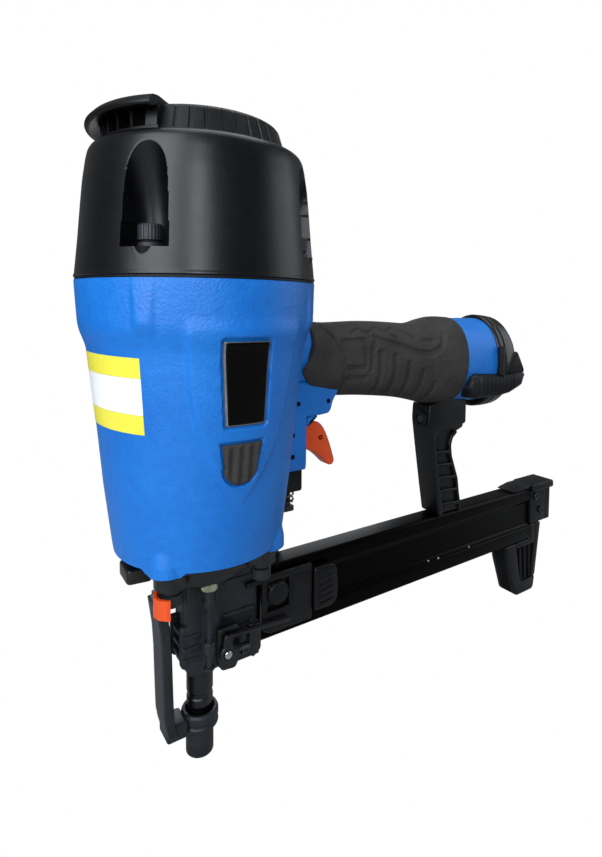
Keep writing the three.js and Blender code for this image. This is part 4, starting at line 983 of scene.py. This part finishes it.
tab = slab([[-38.5, -7.5], [-27, -9], [-27, 9], [-38.5, 7.5]], 101.5, 108.6, axis="z", edge=1.2, corner=2.2)
under = lathe([[6, 96.2], [19, 96.2], [21, 98], [22, 105.6], [6, 105.6]], sides=80, closed=True)
piece("base_shell", merge(base_shape(), tab, under), "black_steel", nodes=["base_plate"], crease=30)
for number, (bx, by) in enumerate(BOLT_XY, start=1):
    piece(f"nose_bolt_head_{number}", socket_bolt(bx, by, 104.3, 4.9, 8.6, up=-1), "phosphate",
          nodes=[f"nose_bolt_{number}"])
    collar = lathe([[1, 104.4], [6.2, 104.4], [6.9, 105.2], [6.9, 108.4], [1, 108.6]], (bx, by), sides=48,
                   closed=True)
    piece(f"bolt_collar_{number}", collar, "black_steel")

# %% [markdown]
# The nose body's column is four walls, because the driver runs down through its middle. Ribs and cheeks are
# added to it as slabs with rounded edges.

# %% Nose body
cheek = [[7.5, 96], [7.5, 64], [10, 59.5], [21, 59.5], [29.4, 69.6], [29.4, 93], [24, 96]]
column = [[-10, 96], [-10, 49], [-8, 46.3], [6.6, 46.3], [8.2, 49], [8.2, 96]]
BORE_R = 3.6
column_front = [[-10, 96], [-10, 49], [-8, 46.3], [-BORE_R, 46.3], [-BORE_R, 96]]
column_rear = [[BORE_R, 96], [BORE_R, 46.3], [6.6, 46.3], [8.2, 49], [8.2, 96]]
nose = [slab(column, -8.9, -BORE_R, edge=0.9, corner=1.4), slab(column, BORE_R, 8.9, edge=0.9, corner=1.4),
        slab(column_front, -4.2, 4.2, edge=0.3), slab(column_rear, -4.2, 4.2, edge=0.3),
        slab(cheek, -7.8, -3.9, edge=0.7, corner=1.4), slab(cheek, 3.9, 7.8, edge=0.7, corner=1.4),
        slab([[-13.2, 73], [-13.2, 53], [-11, 51], [-3, 51], [-3, 73]], -8.7, -5.5, edge=0.8, corner=1.4),
        slab([[-13.2, 73], [-13.2, 53], [-11, 51], [-3, 51], [-3, 73]], 5.5, 8.7, edge=0.8, corner=1.4)]
for z in (54.5, 60.5, 66.5):
    nose.append(slab([[-12.4, z], [-3.8, z], [-3.8, z + 2.4], [-12.4, z + 2.4]],
                     -9.9, 9.9, edge=0.6, corner=0.6))
nose.append(slab([[-2.4, 50], [7, 50], [7, 93], [-2.4, 93]], -9.6, -8.2, edge=0.5, corner=1.4))
nose.append(slab([[10, 71], [27.6, 71], [27.6, 73.2], [10, 73.2]], -8.7, 8.7, edge=0.5, corner=0.7))
nose.append(slab([[10, 88], [27.6, 88], [27.6, 91], [10, 91]], -8.7, 8.7, edge=0.5, corner=0.7))
piece("nose_casting", merge(*nose), "phosphate", nodes=["nose_body"], crease=34)
barrel = lathe([[BORE_R, 2.4], [4.2, 2.1], [4.8, 3.0], [4.8, 22],
                [5.4, 25.6], [6.7, 26.6], [6.8, 30.4], [6.3, 31.2],
                [6.3, 33.0], [6.8, 33.8], [6.8, 46.0], [BORE_R, 46.0]], sides=80, closed=True, soft=0.3)
piece("barrel_tube", barrel, "black_steel", nodes=["barrel"])


# %% [markdown]
# The contact foot is a turned cup with a straight sleeve, which moves up along the barrel when it is pressed.
# The depth screw stands beside the nose, above the foot. Round pieces are lathed from half a section, as they
# would be turned.

# %% Contact foot, link and depth screw
def arm_shape():
    """A strap whose section is x = middle + depth |cos v|^0.35, y = half width |sin v|^0.22, signs kept."""
    left = np.array([[16, -18.5], [22, -20.2], [28, -21.2], [40, -21.6], [61, -22.2], [72, -22.9],
                     [82, -24.4], [86, -25.0], [87.4, -25.2]])
    t = np.linspace(0, 1, 60)
    z = 16 + (87.4 - 16) * t
    front = np.interp(z, left[:, 0], left[:, 1])[:, None]
    v = np.linspace(0, 2 * np.pi, 64, endpoint=False)[None]
    c, s = np.cos(v), np.sin(v)
    half = 8.0 - 1.2 * blend_step(-z, -19, -16)[:, None]
    y = half * np.sign(s) * np.abs(s) ** 0.22
    inner = front + 5.2 + 1.2 * blend_step(z, 76, 86)[:, None]
    mid, deep = (front + inner) / 2, (inner - front) / 2
    rim = 1 - 0.25 * np.exp(-((np.minimum(t, 1 - t)[:, None]) / 0.006) ** 2)
    x = mid + deep * rim * np.sign(c) * np.abs(c) ** 0.35
    return skin(np.stack([x + 0 * y, y * rim, z[:, None] + 0 * y], -1))


cup_ring = lathe([[5.3, 12.9], [7.1, 12.8], [7.3, 14.4], [9.5, 15.4], [9.6, 16.6], [9.0, 17.4], [9.0, 18.4],
                  [9.6, 19.2], [9.6, 22.2], [8.9, 23.6], [7.5, 23.6], [7.4, 15.9], [5.3, 15.6]], sides=96,
                 closed=True, soft=0.35)
bridge = slab([[-19.4, 14.4], [-8.6, 14.4], [-8.6, 22.4], [-19.6, 24]], -6.4, 6.4, edge=1.0, corner=1.6)
tip = lathe([[5.3, 0.5], [5.6, 0.1], [6.6, 0.1], [7.1, 0.7], [7.1, 13.2], [5.3, 13.2]],
            sides=72, closed=True, soft=0.3)
piece("contact_cup", merge(cup_ring, bridge, tip), "phosphate", "contact", ["contact_foot"], crease=36)
piece("contact_arm", arm_shape(), "phosphate", "contact", crease=40)
print("contact strap length", round(87.4 - 16, 1), "mm")


def knurled(profile, centre, teeth, depth, sides=180):
    """A turned profile whose radius is cut by depth (1 + cos(teeth a)) / 2 where it stands widest."""
    pts, faces = lathe(profile, (0, 0), sides=sides, closed=True, soft=0.25)
    radius = np.hypot(pts[:, 0], pts[:, 1])
    angle = np.arctan2(pts[:, 1], pts[:, 0])
    widest = radius.max()
    cut = depth * 0.5 * (1 + np.cos(teeth * angle)) * blend_step(radius, widest - 1.2, widest - 0.4)
    factor = (radius - cut) / np.maximum(radius, 1e-6)
    return pts * np.stack([factor, factor, np.ones_like(factor)], -1) + [centre[0], centre[1], 0], faces


ADJUSTER = (-1.8, -16.8)
rod = [[0.0, 53.4], [2.5, 53.4], [2.8, 53.8], [2.8, 54.6], [1.4, 54.9], [1.4, 61.3], [2.5, 61.5], [2.8, 62],
       [2.8, 67.1], [2.5, 67.5], [1.3, 67.7], [1.3, 85.0], [3.0, 85.0], [3.2, 85.4], [3.2, 88.8], [2.7, 89.2],
       [2.7, 93.2], [0.0, 93.2]]
rod[0][0], rod[-1][0] = 0.4, 0.4
piece("depth_screw", lathe(rod, ADJUSTER, soft=0.15, sides=64), "phosphate", "adjuster", ["depth_rod"])
nut = [[1.6, 93.6], [3.4, 93.6], [4.0, 94.3], [4.0, 98.1], [3.4, 98.8], [1.6, 98.8]]
piece("depth_wheel", knurled(nut, ADJUSTER, 22, 0.45), "zinc_plate", "adjuster", ["depth_nut"], crease=45)

# %% [markdown]
# ## Clip, latch and magazine slide
# The clip is the frame's own piece, only coloured. The latch is folded sheet: two ears, a lever and a
# thin bar. The slide's window shows the coiled spring as a ribbed roller.

# %% Bolt clip and latch
ears = [slab([[4.6, 68.6], [4.8, 52], [6.8, 46.4], [14.6, 45.6], [16.8, 50], [17, 66], [15, 69]],
             -12.6, -10.5,
             edge=0.5, corner=1.6),
        slab([[22.6, 66], [22.2, 51], [24.6, 47], [29.4, 50.6], [29.4, 64.2]],
             -12.6, -10.5, edge=0.5, corner=1.6),
        slab([[5.6, 47.2], [29.2, 47.2], [29.2, 65.8], [5.6, 65.8]], -10.7, -9.4, edge=0.3),
        slab([[8.6, 47.1], [29.2, 47.1], [29.2, 49.3], [8.6, 49.3]], -10.8, 9.3, edge=0.4, corner=0.8)]
piece("latch_ears", merge(*ears), "black_steel", nodes=["latch_bracket"], crease=36)
pin = lathe([[0.5, -16.4], [1.7, -16.4], [2.1, -16.0], [2.1, -9.6], [0.5, -9.6]], soft=0.2, sides=40)
piece("latch_axle", turned_along(pin, "y", (9.1, 0, 56)), "bright_steel", nodes=["latch_pin"])
eye = turned_along(lathe([[2.4, -15.5], [3.9, -15.6], [4.4, -15.2], [4.4, -13.3], [3.9, -12.9], [2.4, -13.0]],
                         soft=0.2, sides=56, closed=True), "y", (9.1, 0, 56))
lever = [eye, slab([[6.4, 59.4], [11.6, 59.4], [12.4, 63.4], [11.4, 66], [8, 66], [6.8, 64]], -15.4, -12.9,
                   edge=0.5, corner=1.0),
         slab([[8.4, 66], [46.8, 63], [47, 60.9], [12.4, 63.2]], -14.6, -12.9, edge=0.45, corner=0.8)]
piece("latch_handle", merge(*lever), "black_steel", "latch", ["latch_lever"], crease=36)
turns = np.linspace(0, 2 * np.pi * 4.5, 120)
coil = np.stack([15.4 + turns / turns[-1] * 4.2, -16.2 + 2.3 * np.cos(turns), 57 + 2.3 * np.sin(turns)], -1)
piece("latch_coil", sweep(coil, 0.5, up=(1, 0, 0), sides=10), "black_steel", nodes=["latch_spring"])

# %% [markdown]
# The slide that pushes the nails along the rail, with a ribbed thumb piece. It is made of slabs with rounded
# edges, because its plates and ribs meet at clear corners that one smooth skin would lose.

# %% Magazine slide
slide = [slab([[30.8, 58.2], [36, 55.6], [62.8, 55.6], [62.8, 67.9], [30.8, 67.9]], -11.2, -7.9, edge=0.6,
              corner=1.2),
         slab([[30.8, 84], [30.8, 87.6], [62.8, 87.6], [62.8, 84]], -11.2, -7.9, edge=0.6, corner=1.0),
         slab([[30.8, 67], [34, 67], [34, 85], [30.8, 85]], -11.2, -7.9, edge=0.6, corner=0.8),
         slab([[47.6, 67], [62.8, 67], [62.8, 85], [47.6, 85]], -11.2, -7.9, edge=0.6, corner=0.8),
         slab([[49.6, 70], [60.8, 70], [60.8, 83.6], [49.6, 83.6]], -11.7, -10.8, edge=0.35, corner=1.6),
         slab([[22, 84], [31.4, 84.2], [31.4, 87.4], [22, 86.8]], -10.8, -8.1, edge=0.5, corner=0.8),
         slab([[33, 67.6], [48.6, 67.6], [48.6, 84.6], [33, 84.6]], -8.6, -7.9, edge=0.2)]
piece("slide_plate", merge(*slide), "fine_plastic", "pusher", ["pusher_carriage"], crease=40)
drum_turns = [[0.8, -12.2], [5.6, -12.2], [5.9, -11.9]]
for step in range(7):
    y = -11.8 + step * 0.55
    drum_turns += [[6.2, y], [6.2, y + 0.3], [5.9, y + 0.42]]
drum_turns += [[5.6, -8.7], [0.8, -8.7]]
roller = turned_along(lathe(drum_turns, soft=0.05, sides=96), "y", (40.5, 0, 77))
ribs = [slab([[40.5 + 5.9 * math.cos(a) - 0.5, 77 + 5.9 * math.sin(a) - 0.5],
              [40.5 + 5.9 * math.cos(a) + 0.5, 77 + 5.9 * math.sin(a) - 0.5],
              [40.5 + 5.9 * math.cos(a) + 0.5, 77 + 5.9 * math.sin(a) + 0.5],
              [40.5 + 5.9 * math.cos(a) - 0.5, 77 + 5.9 * math.sin(a) + 0.5]], -12.1, -8.8, edge=0.2)
        for a in np.linspace(0, 2 * math.pi, 14, endpoint=False)]
piece("spring_roller", merge(roller, *ribs), "fine_plastic", "roll", ["roll_spring"], crease=36)
thumb = [slab([[63.4, 60], [76, 59.8], [79.6, 63], [80, 72.5], [79.2, 81.8], [76, 84.8], [63.4, 84.8]],
              -12.8, -7.9,
              edge=1.0, corner=2.0)]
for step in range(6):
    low = 61.5 + step * 3.6
    thumb.append(slab([[66.6, low], [76.6, low + 1.6], [76.6, low + 3.2], [66.6, low + 1.6]],
                      -13.4, -12.2, edge=0.4,
                      corner=0.5))
piece("slide_thumb", merge(*thumb), "fine_plastic", "pusher", ["pusher_grip"], crease=40)

# %% [markdown]
# ## Looks for the inner parts
# Springs, piston, sleeve and valves keep their machined shapes, and each gets a look of its own.

# %% Inner looks
INNER = {
    "phosphate": ["piston_driver"],
    "black_steel": ["contact_spring"],
    "black_rubber": ["piston_ring", "piston_bumper"],
    "aluminium": ["cylinder_sleeve", "valve_body"],
    "fine_plastic": ["head_valve"],
    "orange_plastic": ["bolt_clip"],
    "bright_steel": ["head_valve_spring"],
    "brass_yellow": ["valve_stem"],
}
look_of = {node: name for name, group in INNER.items() for node in group}
hidden = [node for node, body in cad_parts.items() if body.hide_render]
print("nodes replaced:", len(hidden), "of", len(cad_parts))
for node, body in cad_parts.items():
    if body.hide_render:
        continue
    chosen = LOOKS[look_of.get(node, "phosphate")]
    for place_in_list in range(len(body.material_slots)):
        body.material_slots[place_in_list].material = chosen
    print("kept", node)

# %% [markdown]
# ## Floor, light and camera
# A pale floor and a white room. The key light is a big soft sheet at the left front; a second one
# behind the camera gives the long sheen on the cap; a weak one from the right fills the shadow.

# %% Stage
floor_mesh = bpy.data.meshes.new("floor")
LOW = cad_box[0][2]
floor_mesh.from_pydata([(-9, -9, LOW), (9, -9, LOW), (9, 9, LOW), (-9, 9, LOW)], [], [(0, 1, 2, 3)])
floor = bpy.data.objects.new("floor", floor_mesh)
bpy.context.scene.collection.objects.link(floor)
floor_look = bpy.data.materials.new("floor_look")
floor_look.use_nodes = True
shade = floor_look.node_tree.nodes["Principled BSDF"]
shade.inputs["Base Color"].default_value = (0.35, 0.35, 0.35, 1)
shade.inputs["Roughness"].default_value = 0.9
shade.inputs["Specular IOR Level"].default_value = 0.1
glow, seen = floor_look.node_tree.nodes, floor_look.node_tree.links.new
plain, direct = glow.new("ShaderNodeEmission"), glow.new("ShaderNodeLightPath")
choice = glow.new("ShaderNodeMixShader")
plain.inputs["Color"].default_value, plain.inputs["Strength"].default_value = (1, 1, 1, 1), 1.0
seen(direct.outputs["Is Camera Ray"], choice.inputs[0])
seen(shade.outputs[0], choice.inputs[1])
seen(plain.outputs[0], choice.inputs[2])
seen(choice.outputs[0], glow["Material Output"].inputs["Surface"])
floor_mesh.materials.append(floor_look)


def softbox(name, at, aim, power, width, height):
    """A rectangular area light at `at`, facing `aim`."""
    data = bpy.data.lights.new(name, "AREA")
    data.color = (0.90, 0.95, 1.0)
    data.shape, data.size, data.size_y, data.energy = "RECTANGLE", width, height, power
    lamp = bpy.data.objects.new(name, data)
    bpy.context.scene.collection.objects.link(lamp)
    lamp.location = at
    direction = Matrix.Identity(3).col[0].copy()
    direction.xyz = (aim[0] - at[0], aim[1] - at[1], aim[2] - at[2])
    lamp.rotation_euler = direction.to_track_quat("-Z", "Y").to_euler()
    return lamp


softbox("key", (-0.70, -0.32, 0.50), (-0.12, 0, 0.17), 7.5, 0.45, 0.7)
softbox("front", (-0.42, -0.70, 0.46), (-0.12, 0, 0.2), 3.0, 0.12, 0.5)
softbox("top", (0.0, -0.05, 1.0), (0.0, 0, 0.15), 5.0, 0.8, 0.5)
softbox("fill", (0.70, -0.30, 0.40), (0.05, 0, 0.12), 1.8, 0.5, 0.6)
softbox("back", (0.30, 0.80, 0.45), (0.05, 0, 0.12), 3.2, 0.6, 0.6)
world = bpy.data.worlds.new("room")
bpy.context.scene.world = world
world.use_nodes = True
air, joined = world.node_tree.nodes, world.node_tree.links.new
room, backdrop = air["Background"], air.new("ShaderNodeBackground")
room.inputs["Color"].default_value, room.inputs["Strength"].default_value = (0.92, 0.96, 1, 1), 0.17
backdrop.inputs["Color"].default_value, backdrop.inputs["Strength"].default_value = (1, 1, 1, 1), 1.0
rays, either = air.new("ShaderNodeLightPath"), air.new("ShaderNodeMixShader")
joined(rays.outputs["Is Camera Ray"], either.inputs[0])
joined(room.outputs[0], either.inputs[1])
joined(backdrop.outputs[0], either.inputs[2])
joined(either.outputs[0], air["World Output"].inputs["Surface"])
bpy.context.scene.view_settings.view_transform = "Standard"

# %% [markdown]
# The camera is placed by its three axes and its position in metres. Pointing it at a target would be shorter,
# but would lose the slight roll and the shifted lens.

# %% Camera
eye_data = bpy.data.cameras.new("eye")
eye_data.lens, eye_data.sensor_width = 22.805, 36
eye_data.shift_x, eye_data.shift_y = -0.02217, -0.1091
eye_data.clip_start, eye_data.clip_end = 0.01, 50
camera = bpy.data.objects.new("eye", eye_data)
bpy.context.scene.collection.objects.link(camera)
RIGHT = (0.82448, -0.56579, 0.01085)
UP = (0.02053, 0.04907, 0.99858)
FORWARD = (0.56552, 0.82309, -0.05207)
AT = (-0.22621, -0.26023, 0.23261)
camera.matrix_world = Matrix([[RIGHT[k], UP[k], -FORWARD[k], AT[k]] for k in range(3)] + [[0, 0, 0, 1]])
bpy.context.scene.camera = camera

# %% [markdown]
# Last, the box of the frame is printed as numbers.

# %% Size
print("cad box", cad_box)
